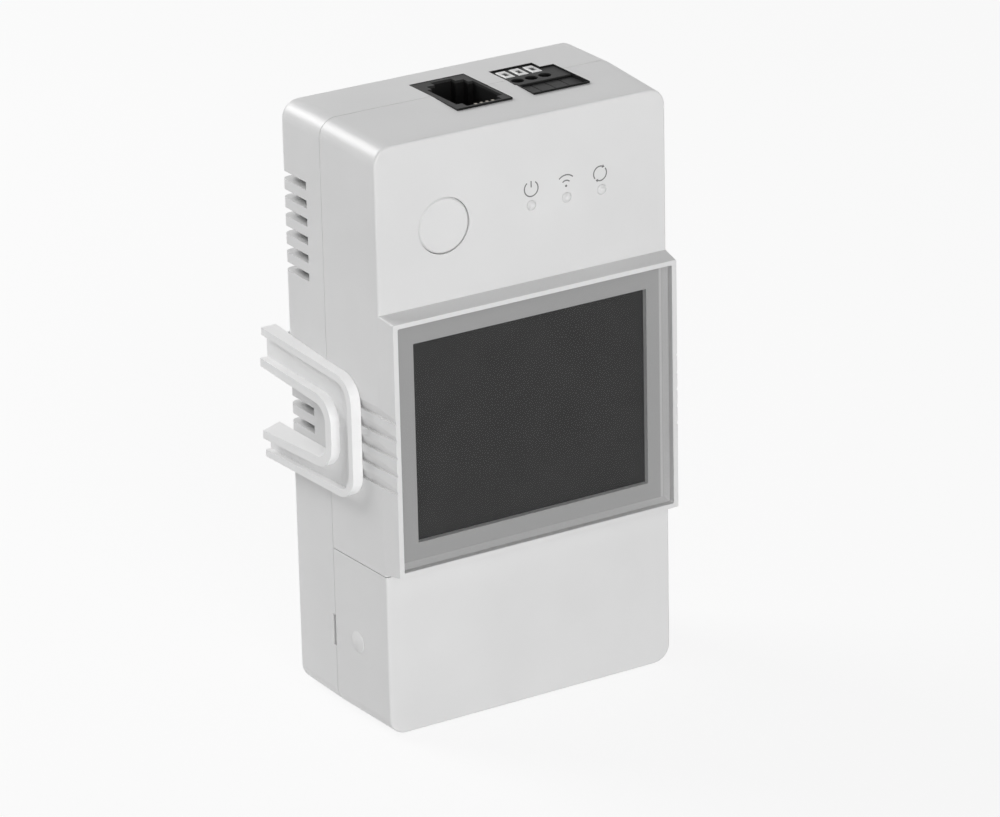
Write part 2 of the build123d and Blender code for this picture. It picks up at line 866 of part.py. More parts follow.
# Clear light guide: three domed prongs on a common bar, with posts towards the lights
with BuildPart() as light_guide:
    with BuildSketch(facing(front_y - light_dome)):
        with Locations(*light_places):
            Circle(light_diameter / 2)
    extrude(amount=-(wall + light_dome + guide_bar_thickness / 2))
    chamfer(light_guide.edges().group_by(Axis.Y)[0], light_dome * 0.9)
    with BuildSketch(facing(cavity_front_y)):
        with Locations((light_x_first + light_pitch, light_up)):
            Rectangle(2 * light_pitch + guide_bar_height, guide_bar_height)
    extrude(amount=-guide_bar_thickness)
    with BuildSketch(facing(display_board_y - led_thickness - guide_led_gap)):
        with Locations(*light_places):
            Rectangle(guide_post_side, guide_post_side)
    extrude(amount=display_board_y - led_thickness - guide_led_gap - cavity_front_y - guide_bar_thickness / 2)
light_guide.part.label = "light_guide"
export_step(light_guide.part, "parts/light_guide.step")

# Three indicator lights on the display board
with BuildPart() as indicator_lights:
    with BuildSketch(facing(display_board_y)):
        with Locations(*light_places):
            Rectangle(led_width, led_height)
    extrude(amount=led_thickness)
indicator_lights.part.label = "indicator_lights"
export_step(indicator_lights.part, "parts/indicator_lights.step")

# Clear cover over the screen
with BuildPart() as display_lens:
    with BuildSketch(facing(rim_y)):
        with Locations((0, screen_centre_up)):
            RectangleRounded(lens_width, lens_height, lens_corner)
    extrude(amount=-lens_thickness)
display_lens.part.label = "display_lens"
export_step(display_lens.part, "parts/display_lens.step")

# Grey mask behind the cover, open over the screen
with BuildPart() as display_mask:
    with BuildSketch(facing(mask_y)):
        with Locations((0, screen_centre_up)):
            RectangleRounded(lens_width, lens_height, lens_corner)
            Rectangle(window_width, window_height, mode=Mode.SUBTRACT)
    extrude(amount=-mask_thickness)
display_mask.part.label = "display_mask"
export_step(display_mask.part, "parts/display_mask.step")

# Liquid crystal panel
with BuildPart() as lcd_panel:
    with BuildSketch(facing(panel_y)):
        with Locations((0, screen_centre_up)):
            Rectangle(panel_width, panel_height)
    extrude(amount=-panel_thickness)
lcd_panel.part.label = "lcd_panel"
export_step(lcd_panel.part, "parts/lcd_panel.step")

# Backlight box between the panel and its board
with BuildPart() as backlight:
    with BuildSketch(facing(backlight_y)):
        with Locations((0, screen_centre_up)):
            RectangleRounded(panel_width, panel_height, button_round)
    extrude(amount=-backlight_thickness)
backlight.part.label = "backlight"
export_step(backlight.part, "parts/backlight.step")

# Display board with screw holes and holes for the header pins
with BuildPart() as display_board:
    with BuildSketch(facing(display_board_y)):
        with Locations((0, (display_board_low + display_board_high) / 2)):
            RectangleRounded(display_board_width, display_board_high - display_board_low, notch_gap)
        with Locations(*display_posts):
            Circle(small_screw_diameter / 2 + drop_in_gap, mode=Mode.SUBTRACT)
        with Locations(*header_places):
            Rectangle(header_pin + drop_in_gap, header_pin + drop_in_gap, mode=Mode.SUBTRACT)
    extrude(amount=-board_thickness)
display_board.part.label = "display_board"
export_step(display_board.part, "parts/display_board.step")

# Two screws that hold the display board to the posts of the front shell
with BuildPart() as display_board_screws:
    with BuildSketch(facing(display_board_y + board_thickness)):
        with Locations(*display_posts):
            Circle(small_screw_head / 2)
    extrude(amount=-small_screw_head_height)
    with BuildSketch(facing(display_board_y + board_thickness)):
        with Locations(*display_posts):
            Circle(small_screw_diameter / 2 - shank_fit)
    extrude(amount=board_thickness + display_screw_length - drop_in_gap)
    with BuildSketch(facing(display_board_y + board_thickness + small_screw_head_height)):
        with Locations(*display_posts):
            Rectangle(small_screw_head / 2, cross_width)
            Rectangle(cross_width, small_screw_head / 2)
    extrude(amount=cross_depth, mode=Mode.SUBTRACT)
display_board_screws.part.label = "display_board_screws"
export_step(display_board_screws.part, "parts/display_board_screws.step")

# Radio module on the back of the display board
with BuildPart() as radio_module:
    with BuildSketch(facing(display_board_y + board_thickness)):
        with Locations((wifi_x, wifi_up)):
            Rectangle(wifi_width, wifi_height)
    extrude(amount=-wifi_board)
radio_module.part.label = "radio_module"
export_step(radio_module.part, "parts/radio_module.step")

# Metal shield of the radio module
with BuildPart() as radio_shield:
    with BuildSketch(facing(display_board_y + board_thickness + wifi_board)):
        with Locations((wifi_x, wifi_up - (wifi_height - shield_side) / 2 + drop_in_gap)):
            Rectangle(shield_side, shield_side)
    extrude(amount=-shield_height)
    chamfer(radio_shield.edges().group_by(Axis.Y)[-1], button_round)
radio_shield.part.label = "radio_shield"
export_step(radio_shield.part, "parts/radio_shield.step")

# Plastic blocks of the header, one on each board
with BuildPart() as header_blocks:
    for y in (display_board_y + board_thickness, main_board_y - header_block):
        with BuildSketch(facing(y)):
            with Locations((header_x, header_up)):
                Rectangle(header_pins * header_pitch, header_pitch)
            with Locations(*header_places):
                Rectangle(header_pin + drop_in_gap, header_pin + drop_in_gap, mode=Mode.SUBTRACT)
        extrude(amount=-header_block)
header_blocks.part.label = "header_blocks"
export_step(header_blocks.part, "parts/header_blocks.step")

# Pins that join the two boards
with BuildPart() as header_pin_row:
    with BuildSketch(facing(display_board_y - header_tail)):
        with Locations(*header_places):
            Rectangle(header_pin, header_pin)
    extrude(amount=-(main_board_y - display_board_y + board_thickness + 2 * header_tail))
header_pin_row.part.label = "header_pins"
export_step(header_pin_row.part, "parts/header_pins.step")

# Main board, notched round the screw bosses
with BuildPart() as main_board:
    with BuildSketch(facing(main_board_y)):
        with Locations((0, (main_board_low + main_board_high) / 2)):
            Rectangle(2 * (inner_half - board_edge_gap), main_board_high - main_board_low)
        with Locations(*screw_places):
            Circle(boss_diameter / 2 + notch_gap, mode=Mode.SUBTRACT)
        with Locations(*[(sx * inner_half, up) for sx in (-1, 1) for up in (screw_up_low, screw_up_high)]):
            Rectangle(2 * (inner_half - screw_x), boss_diameter + 2 * notch_gap, mode=Mode.SUBTRACT)
        with Locations(*board_posts):
            Circle(small_screw_diameter / 2 + drop_in_gap, mode=Mode.SUBTRACT)
        with Locations(*header_places):
            Rectangle(header_pin + drop_in_gap, header_pin + drop_in_gap, mode=Mode.SUBTRACT)
        with Locations(*pin_places):
            Circle(solder_hole / 2, mode=Mode.SUBTRACT)
    extrude(amount=-board_thickness)
main_board.part.label = "main_board"
export_step(main_board.part, "parts/main_board.step")

# Four screws that hold the main board to the posts of the rear shell
with BuildPart() as main_board_screws:
    with BuildSketch(facing(main_board_y)):
        with Locations(*board_posts):
            Circle(small_screw_head / 2)
    extrude(amount=small_screw_head_height)
    with BuildSketch(facing(main_board_y)):
        with Locations(*board_posts):
            Circle(small_screw_diameter / 2 - shank_fit)
    extrude(amount=-small_screw_length)
    with BuildSketch(facing(main_board_y - small_screw_head_height)):
        with Locations(*board_posts):
            Rectangle(small_screw_head / 2, cross_width)
            Rectangle(cross_width, small_screw_head / 2)
    extrude(amount=-cross_depth, mode=Mode.SUBTRACT)
main_board_screws.part.label = "main_board_screws"
export_step(main_board_screws.part, "parts/main_board_screws.step")

# Relay
with BuildPart() as relay:
    with BuildSketch(facing(main_board_y)):
        with Locations((relay_x, relay_up)):
            Rectangle(relay_width, relay_height)
    extrude(amount=relay_thickness)
    chamfer(relay.edges().filter_by(Axis.Y) + relay.edges().group_by(Axis.Y)[0], capacitor_round)
relay.part.label = "relay"
export_step(relay.part, "parts/relay.step")

# Transformer core: outer frame and middle leg
with BuildPart() as transformer_core:
    with BuildSketch(facing(front_y + core_front_depth)):
        with Locations((core_x, core_up)):
            Rectangle(core_width, core_height)
        for side in (-1, 1):
            with Locations((core_x + side * (core_leg + core_window_width) / 2, core_up)):
                Rectangle(core_window_width, core_window_height, mode=Mode.SUBTRACT)
    extrude(amount=-core_thickness)
transformer_core.part.label = "transformer_core"
export_step(transformer_core.part, "parts/transformer_core.step")

# Transformer winding on its bobbin, round the middle leg and down to the board
with BuildPart() as transformer_bobbin:
    with BuildSketch(facing(front_y + bobbin_front_depth)):
        with Locations((core_x, core_up)):
            RectangleRounded(
                core_leg + 2 * core_window_width - 2 * bobbin_gap,
                core_window_height - 2 * bobbin_gap,
                button_round,
            )
    extrude(amount=-(main_board_depth - bobbin_front_depth))
    with BuildSketch(facing(front_y + core_front_depth - bobbin_gap)):
        with Locations((core_x, core_up)):
            Rectangle(core_leg + 2 * bobbin_gap, core_window_height)
    extrude(amount=-(core_thickness + 2 * bobbin_gap), mode=Mode.SUBTRACT)
transformer_bobbin.part.label = "transformer_bobbin"
export_step(transformer_bobbin.part, "parts/transformer_bobbin.step")

# Two filter capacitors
with BuildPart() as filter_capacitors:
    with BuildSketch(facing(main_board_y)):
        with Locations(*capacitor_places):
            Circle(capacitor_diameter / 2)
    extrude(amount=capacitor_length)
    chamfer(filter_capacitors.edges().group_by(Axis.Y)[0], capacitor_round)
filter_capacitors.part.label = "filter_capacitors"
export_step(filter_capacitors.part, "parts/filter_capacitors.step")

# Fuse
with BuildPart() as fuse:
    with BuildSketch(facing(main_board_y)):
        with Locations((fuse_x, fuse_up)):
            Circle(fuse_diameter / 2)
    extrude(amount=fuse_length)
    chamfer(fuse.edges().group_by(Axis.Y)[0], capacitor_round)
fuse.part.label = "fuse"
export_step(fuse.part, "parts/fuse.step")

# Disc varistor standing on two leads
with BuildPart() as varistor:
    with BuildSketch(Plane.YZ.offset(varistor_x - varistor_thickness / 2)):
        with Locations((front_y + varistor_depth_in, varistor_up)):
            Circle(varistor_diameter / 2)
    extrude(amount=varistor_thickness)
    chamfer(varistor.edges().filter_by(GeomType.CIRCLE), capacitor_round)
    with BuildSketch(facing(main_board_y)):
        for side in (-1, 1):
            with Locations((varistor_x, varistor_up + side * varistor_lead_gap / 2)):
                Circle(varistor_lead / 2)
    extrude(amount=main_board_depth - varistor_depth_in)
varistor.part.label = "varistor"
export_step(varistor.part, "parts/varistor.step")

# Terminal block with screw holes, clamp pockets and wire entries
with BuildPart() as terminal_block:
    with BuildSketch(facing(block_front_y)):
        with Locations((0, block_low + block_height / 2)):
            Rectangle(block_width, block_height)
    extrude(amount=-block_thickness)
    chamfer(terminal_block.faces().sort_by(Axis.Y)[0].edges().filter_by(Axis.X), block_side)
    with BuildSketch(facing(block_front_y)):
        with Locations(*terminal_places):
            Circle(terminal_hole_diameter / 2)
    extrude(amount=-(terminal_screw_recess + terminal_screw_head_height), mode=Mode.SUBTRACT)
    with BuildSketch(facing(clamp_front_y - clamp_gap)):
        with Locations(*terminal_places):
            Rectangle(clamp_width + 2 * clamp_gap, clamp_height + 2 * clamp_gap)
    extrude(amount=-(clamp_depth + 2 * clamp_gap), mode=Mode.SUBTRACT)
    with BuildSketch(Plane.XY.offset(block_low)):
        with Locations(*[(x, front_y + wire_entry_depth_in) for x in pole_places]):
            Circle(wire_entry_diameter / 2)
    extrude(amount=clamp_low + clamp_wall, mode=Mode.SUBTRACT)
    # Ribs between the poles on the front
    with BuildSketch(facing(block_front_y)):
        with Locations(*[(x + pole_pitch / 2, block_low + block_height / 2) for x in pole_places[:-1]]):
            Rectangle(divider_width + block_rib, block_height - 4 * block_side)
    extrude(amount=block_rib)
terminal_block.part.label = "terminal_block"
export_step(terminal_block.part, "parts/terminal_block.step")

# Clamp cages, one per pole
with BuildPart() as terminal_clamps:
    with BuildSketch(facing(clamp_front_y)):
        with Locations(*terminal_places):
            Rectangle(clamp_width, clamp_height)
    extrude(amount=-clamp_depth)
    with BuildSketch(Plane.XY.offset(block_low)):
        with Locations(*[(x, clamp_middle_y) for x in pole_places]):
            Rectangle(clamp_width - clamp_wall, clamp_depth - 2 * clamp_wall)
    extrude(amount=block_height, mode=Mode.SUBTRACT)
    with BuildSketch(facing(clamp_front_y)):
        with Locations(*terminal_places):
            Circle(terminal_screw_diameter / 2 + terminal_fit)
    extrude(amount=-2 * clamp_wall, mode=Mode.SUBTRACT)
terminal_clamps.part.label = "terminal_clamps"
export_step(terminal_clamps.part, "parts/terminal_clamps.step")

# Terminal screws, each free to turn in its clamp
for number, place in enumerate(terminal_places, start=1):
    with BuildPart() as terminal_screw:
        with BuildSketch(facing(clamp_front_y)):
            with Locations(place):
                Circle(terminal_screw_head / 2)
        extrude(amount=terminal_screw_head_height)
        chamfer(terminal_screw.edges().group_by(Axis.Y)[0], button_round)
        with BuildSketch(facing(clamp_front_y)):
            with Locations(place):
                Circle(terminal_screw_diameter / 2)
        extrude(amount=-terminal_screw_length)
        with BuildSketch(facing(clamp_front_y - terminal_screw_head_height)):
            with Locations(place):
                Rectangle(terminal_screw_head, slot_width)
        extrude(amount=-slot_depth, mode=Mode.SUBTRACT)
    terminal_screw.part.label = f"terminal_screw_{number}"
    export_step(terminal_screw.part, f"parts/terminal_screw_{number}.step")

# Four screws that close the housing from behind
with BuildPart() as housing_screws:
    with BuildSketch(facing(rear_y - counterbore_depth)):
        with Locations(*screw_places):
            Circle(screw_head_diameter / 2)
    extrude(amount=-screw_head_height)
    chamfer(housing_screws.edges().group_by(Axis.Y)[-1], button_round)
    with BuildSketch(facing(rear_y - counterbore_depth)):
        with Locations(*screw_places):
            Circle(screw_diameter / 2 - shank_fit)
    extrude(amount=screw_length)
    with BuildSketch(facing(rear_y - counterbore_depth + screw_head_height)):
        with Locations(*screw_places):
            Rectangle(screw_head_diameter / 2, cross_width)
            Rectangle(cross_width, screw_head_diameter / 2)
    extrude(amount=cross_depth, mode=Mode.SUBTRACT)
housing_screws.part.label = "housing_screws"
export_step(housing_screws.part, "parts/housing_screws.step")

# Sensor jack, open at the top, with a stepped cavity and a latch groove at the back
with BuildPart() as sensor_jack:
    with BuildSketch(Plane.XY.offset(jack_top)):
        patch(jack_left, jack_right, jack_front_depth, main_board_depth)
    extrude(amount=-jack_height)
    with BuildSketch(Plane.XY.offset(jack_top)):
        patch(throat_left, throat_right, throat_front_depth, plug_back_depth)
        patch(plug_left, plug_right, plug_front_depth, plug_back_depth)
        patch(plug_step_left, plug_step_right, plug_front_depth, plug_step_depth)
        patch(latch_left, latch_right, plug_front_depth, latch_depth)
    extrude(amount=-plug_reach, mode=Mode.SUBTRACT)
    with BuildSketch(Plane.XY.offset(floor_up)):
        for x in contact_x:
            patch(
                x - contact_slot / 2,
                x + contact_slot / 2,
                contact_root_depth - contact_slot / 2,
                contact_root_depth + contact_slot / 2,
            )
    extrude(amount=-contact_foot - drop_in_gap, mode=Mode.SUBTRACT)
sensor_jack.part.label = "sensor_jack"
export_step(sensor_jack.part, "parts/sensor_jack.step")

# Sprung contact wires of the jack
with BuildPart() as jack_contacts:
    for x in contact_x:
        with BuildSketch(Plane.YZ.offset(x - contact_wire / 2)):
            with BuildLine():
                Polyline(
                    (front_y + contact_root_depth, floor_up - contact_foot),
                    (front_y + contact_root_depth, floor_up + contact_bend_up),
                    (front_y + contact_tip_depth, jack_top - 2 * contact_tip_drop),
                    (front_y + contact_tip_depth, jack_top - contact_tip_drop),
                )
            trace(line_width=contact_wire)
        extrude(amount=contact_wire)
jack_contacts.part.label = "jack_contacts"
export_step(jack_contacts.part, "parts/jack_contacts.step")

# Push-in terminal body with wire holes and slots for the release keys
with BuildPart() as sensor_terminal:
    with BuildSketch(Plane.XY.offset(jack_top - push_height)):
        patch(push_left, push_right, push_front_depth, push_back_depth)
        patch(key_row_left, key_row_right, push_step_depth, key_row_back_depth)
    extrude(amount=push_height)
    with BuildSketch(Plane.XY.offset(jack_top - push_height)):
        patch(push_left, key_row_right, push_back_depth, main_board_depth)
    extrude(amount=push_height - 2 * wall)
    with BuildSketch(Plane.XY.offset(jack_top)):
        patch(push_left, push_right, push_front_depth, push_step_depth)
    extrude(amount=-push_step, mode=Mode.SUBTRACT)
    with BuildSketch(Plane.XY.offset(jack_top - push_step)):
        for i in range(1, divider_count):
            x = push_left + i * (push_right - push_left) / divider_count
            patch(x - divider_width / 2, x + divider_width / 2, push_front_depth, push_step_depth)
    extrude(amount=-divider_depth, mode=Mode.SUBTRACT)
    with BuildSketch(Plane.XY.offset(jack_top)):
        with Locations(*[(x, front_y + wire_hole_depth_in) for x in key_places]):
            Circle(wire_hole_diameter / 2)
    extrude(amount=-wire_hole_reach, mode=Mode.SUBTRACT)
    with BuildSketch(Plane.XY.offset(jack_top)):
        for x in key_places:
            patch(
                x - key_width / 2 - key_gap,
                x + key_width / 2 + key_gap,
                key_front_depth - key_gap,
                key_row_back_depth - key_back_wall + key_gap,
            )
    extrude(amount=-(key_length - key_proud + key_travel + key_gap), mode=Mode.SUBTRACT)
sensor_terminal.part.label = "sensor_terminal"
export_step(sensor_terminal.part, "parts/sensor_terminal.step")

# Release keys of the push-in terminal
for number, x in enumerate(key_places, start=1):
    with BuildPart() as release_key:
        with BuildSketch(Plane.XY.offset(key_row_top)):
            patch(x - key_width / 2, x + key_width / 2, key_front_depth, key_row_back_depth - key_back_wall)
        extrude(amount=-key_length)
        chamfer(release_key.faces().sort_by(Axis.Z)[-1].edges(), key_gap)
        with BuildSketch(Plane.XY.offset(key_row_top)):
            with Locations((x, front_y + (key_front_depth + key_row_back_depth - key_back_wall) / 2)):
                Rectangle(key_dish_width, key_dish_length)
        extrude(amount=-key_dish_depth, mode=Mode.SUBTRACT)
    release_key.part.label = f"release_key_{number}"
    export_step(release_key.part, f"parts/release_key_{number}.step")

# Solder pins of the push-in terminal and of the jack, through the main board
with BuildPart() as solder_pins:
    with BuildSketch(facing(main_board_y)):
        with Locations(*pin_places):
            Rectangle(solder_pin, solder_pin)
    extrude(amount=-(board_thickness + solder_tail))
solder_pins.part.label = "solder_pins"
export_step(solder_pins.part, "parts/solder_pins.step")


def clip_face(reach, flare):
    """Slanted face of a clip: its reach at the base depth, spreading towards the rear."""
    return Plane(origin=(reach, clip_base_y, screen_centre_up), z_dir=(1, -flare, 0))


def clip_outline(inset):
    """Corners of the side view of the whole clip, drawn in by an inset."""
    return [
        (clip_base_y + inset, clip_low_front + inset),
        (clip_end_y + inset, clip_low_rear + inset),
        (clip_end_y + inset, clip_top_rear - inset),
        (clip_base_y + inset, clip_top_front - inset),
    ]


def slot_outline(outset):
    """Corners of the side view of the slot, widened by an outset and open at the rear."""
    return [
        (slot_base_y - outset, slot_low_front - outset),
        (clip_end_y + wall, slot_low_rear - outset),
        (clip_end_y + wall, slot_top_rear + outset),
        (slot_base_y - outset, slot_top_front + outset),
    ]


# Flange round the slot, standing a little higher than the outer flange
with BuildPart() as clip_inner_flange:
    with BuildSketch(Plane.YZ.offset(inner_half)) as ring:
        with BuildLine():
            Polyline(*slot_outline(inner_flange), close=True)
        make_face()
        fillet(ring.vertices().group_by(Axis.X)[0], slot_corner + inner_flange)
        with Locations((clip_end_y + wall, screen_centre_up)):
            Rectangle(2 * wall, body_height, mode=Mode.SUBTRACT)
    extrude(amount=3 * wall)
    split(bisect_by=clip_face(flange_reach + inner_flange_extra, flange_flare), keep=Keep.BOTTOM)

# Space above the web of the clip
with BuildPart() as clip_channel:
    with BuildSketch(Plane.YZ.offset(inner_half)) as channel:
        with BuildLine():
            Polyline(*clip_outline(outer_flange), close=True)
        make_face()
        fillet(channel.vertices().group_by(Axis.X)[0], clip_corner - outer_flange)
    extrude(amount=4 * wall)
    split(bisect_by=clip_face(web_base, web_flare), keep=Keep.TOP)

# Slot of the clip, its sides drafted so that it narrows towards the housing
with BuildPart() as clip_slot:
    with BuildSketch(Plane.YZ.offset(slot_outer_x)) as opening:
        with BuildLine():
            Polyline(*slot_outline(0), close=True)
        make_face()
        fillet(opening.vertices().group_by(Axis.X)[0], slot_corner)
    extrude(amount=-(slot_outer_x - inner_half), taper=slot_draft)

# Side clip, right: a flared channel section with two arms and two pegs
with BuildPart() as side_clip_right:
    with BuildSketch(Plane.YZ.offset(inner_half + wall / 2)) as blank:
        with BuildLine():
            Polyline(*clip_outline(0), close=True)
        make_face()
        fillet(blank.vertices().group_by(Axis.X)[0], clip_corner)
    extrude(amount=2 * wall)
    split(bisect_by=clip_face(flange_reach, flange_flare), keep=Keep.BOTTOM)
    add(clip_channel.part, mode=Mode.SUBTRACT)
    add(clip_inner_flange.part)
    add(clip_slot.part, mode=Mode.SUBTRACT)
    # Inner side follows the drafted side of the housing
    with BuildSketch(Plane.XY):
        with BuildLine():
            Polyline(
                (0, front_y),
                (front_half + clip_gap, front_y),
                (body_width / 2 + clip_gap, parting_y),
                (body_width / 2 + clip_gap, clip_end_y + wall),
                (0, clip_end_y + wall),
                close=True,
            )
        make_face()
    extrude(amount=body_height, mode=Mode.SUBTRACT)
    with BuildSketch(Plane.YZ.offset(body_width / 2 + clip_gap - peg_length)):
        with Locations(*peg_places):
            Circle(peg_diameter / 2)
    extrude(amount=peg_length + clip_gap)
side_clip_right.part.label = "side_clip_right"
export_step(side_clip_right.part, "parts/side_clip_right.step")

# Side clip, left: mirror image of the right one
with BuildPart() as side_clip_left:
    mirror(side_clip_right.part, about=Plane.YZ)
side_clip_left.part.label = "side_clip_left"
export_step(side_clip_left.part, "parts/side_clip_left.step")
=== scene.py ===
import json
import math

import bmesh
import bpy
from mathutils import Matrix, Vector


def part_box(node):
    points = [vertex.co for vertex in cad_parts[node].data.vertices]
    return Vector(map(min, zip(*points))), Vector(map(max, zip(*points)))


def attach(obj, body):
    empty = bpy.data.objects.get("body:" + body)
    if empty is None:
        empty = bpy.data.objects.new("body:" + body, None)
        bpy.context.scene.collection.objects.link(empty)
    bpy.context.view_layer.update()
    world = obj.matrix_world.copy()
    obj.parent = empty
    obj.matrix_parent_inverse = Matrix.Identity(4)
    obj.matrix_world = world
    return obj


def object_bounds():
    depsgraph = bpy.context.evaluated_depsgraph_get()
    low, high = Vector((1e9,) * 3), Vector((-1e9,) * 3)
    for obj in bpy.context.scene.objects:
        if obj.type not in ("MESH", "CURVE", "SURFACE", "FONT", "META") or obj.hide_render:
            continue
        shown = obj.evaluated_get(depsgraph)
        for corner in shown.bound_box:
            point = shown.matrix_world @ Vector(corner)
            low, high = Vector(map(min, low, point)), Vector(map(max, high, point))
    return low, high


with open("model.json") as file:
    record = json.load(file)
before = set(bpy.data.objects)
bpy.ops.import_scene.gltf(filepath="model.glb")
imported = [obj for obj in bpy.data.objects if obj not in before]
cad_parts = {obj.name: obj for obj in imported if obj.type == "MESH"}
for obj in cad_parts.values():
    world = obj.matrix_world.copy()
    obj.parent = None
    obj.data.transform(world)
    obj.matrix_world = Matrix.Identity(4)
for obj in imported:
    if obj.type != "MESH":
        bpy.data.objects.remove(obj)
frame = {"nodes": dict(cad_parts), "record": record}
cad_low, cad_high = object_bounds()
nodes = frame["nodes"]
scene = bpy.context.scene
scene.view_settings.view_transform = "Standard"
MM = 0.001
HOUSING = "housing"

# Camera, with lengths in metres and the lens in millimetres
CAMERA_PLACE = Vector((-0.40532, -0.66862, 0.35204))
CAMERA_RIGHT = Vector((0.84877871, -0.52835224, -0.02046017))
CAMERA_UP = Vector((0.20934987, 0.30027615, 0.9305949))
CAMERA_BACK = Vector((-0.4855382, -0.79415247, 0.36547848))
CAMERA_LENS = 190.888
SENSOR_WIDTH = 36.0
CLIP_NEAR = 0.05
CLIP_FAR = 20.0

camera_data = bpy.data.cameras.new("camera")
camera_data.sensor_width = SENSOR_WIDTH
camera_data.lens = CAMERA_LENS
camera_data.clip_start = CLIP_NEAR
camera_data.clip_end = CLIP_FAR
camera = bpy.data.objects.new("camera", camera_data)
scene.collection.objects.link(camera)
turn = Matrix((CAMERA_RIGHT, CAMERA_UP, CAMERA_BACK)).transposed().to_4x4()
camera.matrix_world = Matrix.Translation(CAMERA_PLACE) @ turn
scene.camera = camera


# Building blocks of the materials
def linear(value):
    """Linear light for an 8-bit display value, by the sRGB curve."""
    v = value / 255
    return v / 12.92 if v <= 0.04045 else ((v + 0.055) / 1.055) ** 2.4


def grey(value):
    """Grey of a display value, as a linear colour."""
    return (linear(value),) * 3


def new_material(name):
    """A node material with one Principled shader."""
    material = bpy.data.materials.new(name)
    material.use_nodes = True
    tree = material.node_tree
    tree.nodes.clear()
    out = tree.nodes.new("ShaderNodeOutputMaterial")
    shader = tree.nodes.new("ShaderNodeBsdfPrincipled")
    tree.links.new(shader.outputs["BSDF"], out.inputs["Surface"])
    return material, tree, shader, out


def feed(tree, node, values):
    """Sets inputs of a node by name or number, each from a socket, a number, a vector or a colour."""
    for key, value in values.items():
        socket = node.inputs[key]
        if isinstance(value, bpy.types.NodeSocket):
            tree.links.new(value, socket)
        elif socket.type == "RGBA":
            socket.default_value = (*value, 1)
        else:
            socket.default_value = value


def place(tree):
    """Coordinates in the frame, in metres."""
    return tree.nodes.new("ShaderNodeTexCoord").outputs["Object"]


def component(tree, vector, axis):
    """One component of a vector."""
    node = tree.nodes.new("ShaderNodeSeparateXYZ")
    feed(tree, node, {"Vector": vector})
    return node.outputs[axis]


def calculate(tree, operation, *values):
    """Result of a Math node on sockets and numbers."""
    node = tree.nodes.new("ShaderNodeMath")
    node.operation = operation
    feed(tree, node, dict(enumerate(values)))
    return node.outputs["Value"]


def mapped(tree, source, values):
    """Coordinates that are stretched or turned."""
    node = tree.nodes.new("ShaderNodeMapping")
    feed(tree, node, {"Vector": source, **values})
    return node.outputs["Vector"]


def noise(tree, source, size, detail=3.0, roughness=0.5):
    """Noise whose features are about that size in metres."""
    node = tree.nodes.new("ShaderNodeTexNoise")
    feed(tree, node, {"Scale": 1 / size, "Detail": detail, "Roughness": roughness, "Vector": source})
    return node.outputs["Fac"]


def spread(tree, fac, low=0.0, high=1.0):
    """Maps the middle half of 0..1 to low..high."""
    node = tree.nodes.new("ShaderNodeMapRange")
    feed(tree, node, {"From Min": 0.25, "From Max": 0.75, "To Min": low, "To Max": high, "Value": fac})
    return node.outputs["Result"]


def mix_colour(tree, fac, low, high):
    """Blends two colours, each a triple or a socket."""
    node = tree.nodes.new("ShaderNodeMix")
    node.data_type = "RGBA"
    feed(tree, node, {"Factor": fac, 6: low, 7: high})
    return node.outputs[2]


def grey_range(tree, fac, value, vary):
    """A grey that varies by a few display levels to either side."""
    return mix_colour(tree, fac, grey(value - vary), grey(value + vary))


def mix_shader(tree, fac, first, second):
    """Blends two shaders by a number or a socket."""
    node = tree.nodes.new("ShaderNodeMixShader")
    feed(tree, node, {"Fac": fac, 1: first, 2: second})
    return node.outputs["Shader"]


def bump(tree, height, distance, normal=None):
    """Normals of a surface that rises and falls by a distance in metres."""
    node = tree.nodes.new("ShaderNodeBump")
    feed(tree, node, {"Distance": distance, "Height": height})
    if normal is not None:
        feed(tree, node, {"Normal": normal})
    return node.outputs["Normal"]


def soft_edges(tree, radius):
    """Normals that round off the sharp edges of moulded plastic."""
    node = tree.nodes.new("ShaderNodeBevel")
    node.samples = 4
    feed(tree, node, {"Radius": radius})
    return node.outputs["Normal"]


def facing_share(tree, axis):
    """1 on faces that look along an axis, 0 on faces that run beside it."""
    normal = tree.nodes.new("ShaderNodeNewGeometry").outputs["True Normal"]
    return calculate(tree, "ABSOLUTE", component(tree, normal, axis))


# Materials. Grain, depth and edge are in millimetres, and greys are display values.
FLOW_SIZE = 17 * MM
PLASTIC_IOR = 1.46
DRAWN = (1.0, 0.2, 1.0)
DULL_SIZE = 1.4 * MM
DULL_SHARE = 0.82
PATCH_SIZE = 4 * MM
WAVE_SIZE = 30 * MM
COVER_IOR = 1.12
COVER_SKIN = 0.1 * MM
CLOUD_SIZE = 0.8 * MM
SPECK_SIZE = 0.12 * MM
FILM_SIZE = 6 * MM
TRACK_SIZE = 4.3 * MM
WEAVE_SIZE = 0.4 * MM
KEY_GRAIN = 0.2 * MM
KEY_EDGE = 0.12 * MM
COAT_SIZE = 0.15 * MM


def moulded(name, value, roughness, grain=0.22, depth=0.004, edge=0.05, vary=3, gloss=0.5):
    """Moulded plastic: spark-eroded grain, faint flow variation, softened edges."""
    material, tree, shader, _ = new_material(name)
    where = place(tree)
    flow = spread(tree, noise(tree, where, FLOW_SIZE, detail=2.0))
    tone = grey_range(tree, flow, value, vary)
    fine = noise(tree, where, grain * MM, detail=4.0, roughness=0.6)
    feed(tree, shader, {
        "Base Color": tone,
        "Roughness": spread(tree, fine, roughness - 0.05, roughness + 0.05),
        "Normal": bump(tree, fine, depth * MM, soft_edges(tree, edge * MM)),
        "Specular IOR Level": gloss,
        "IOR": PLASTIC_IOR,
    })
    return material


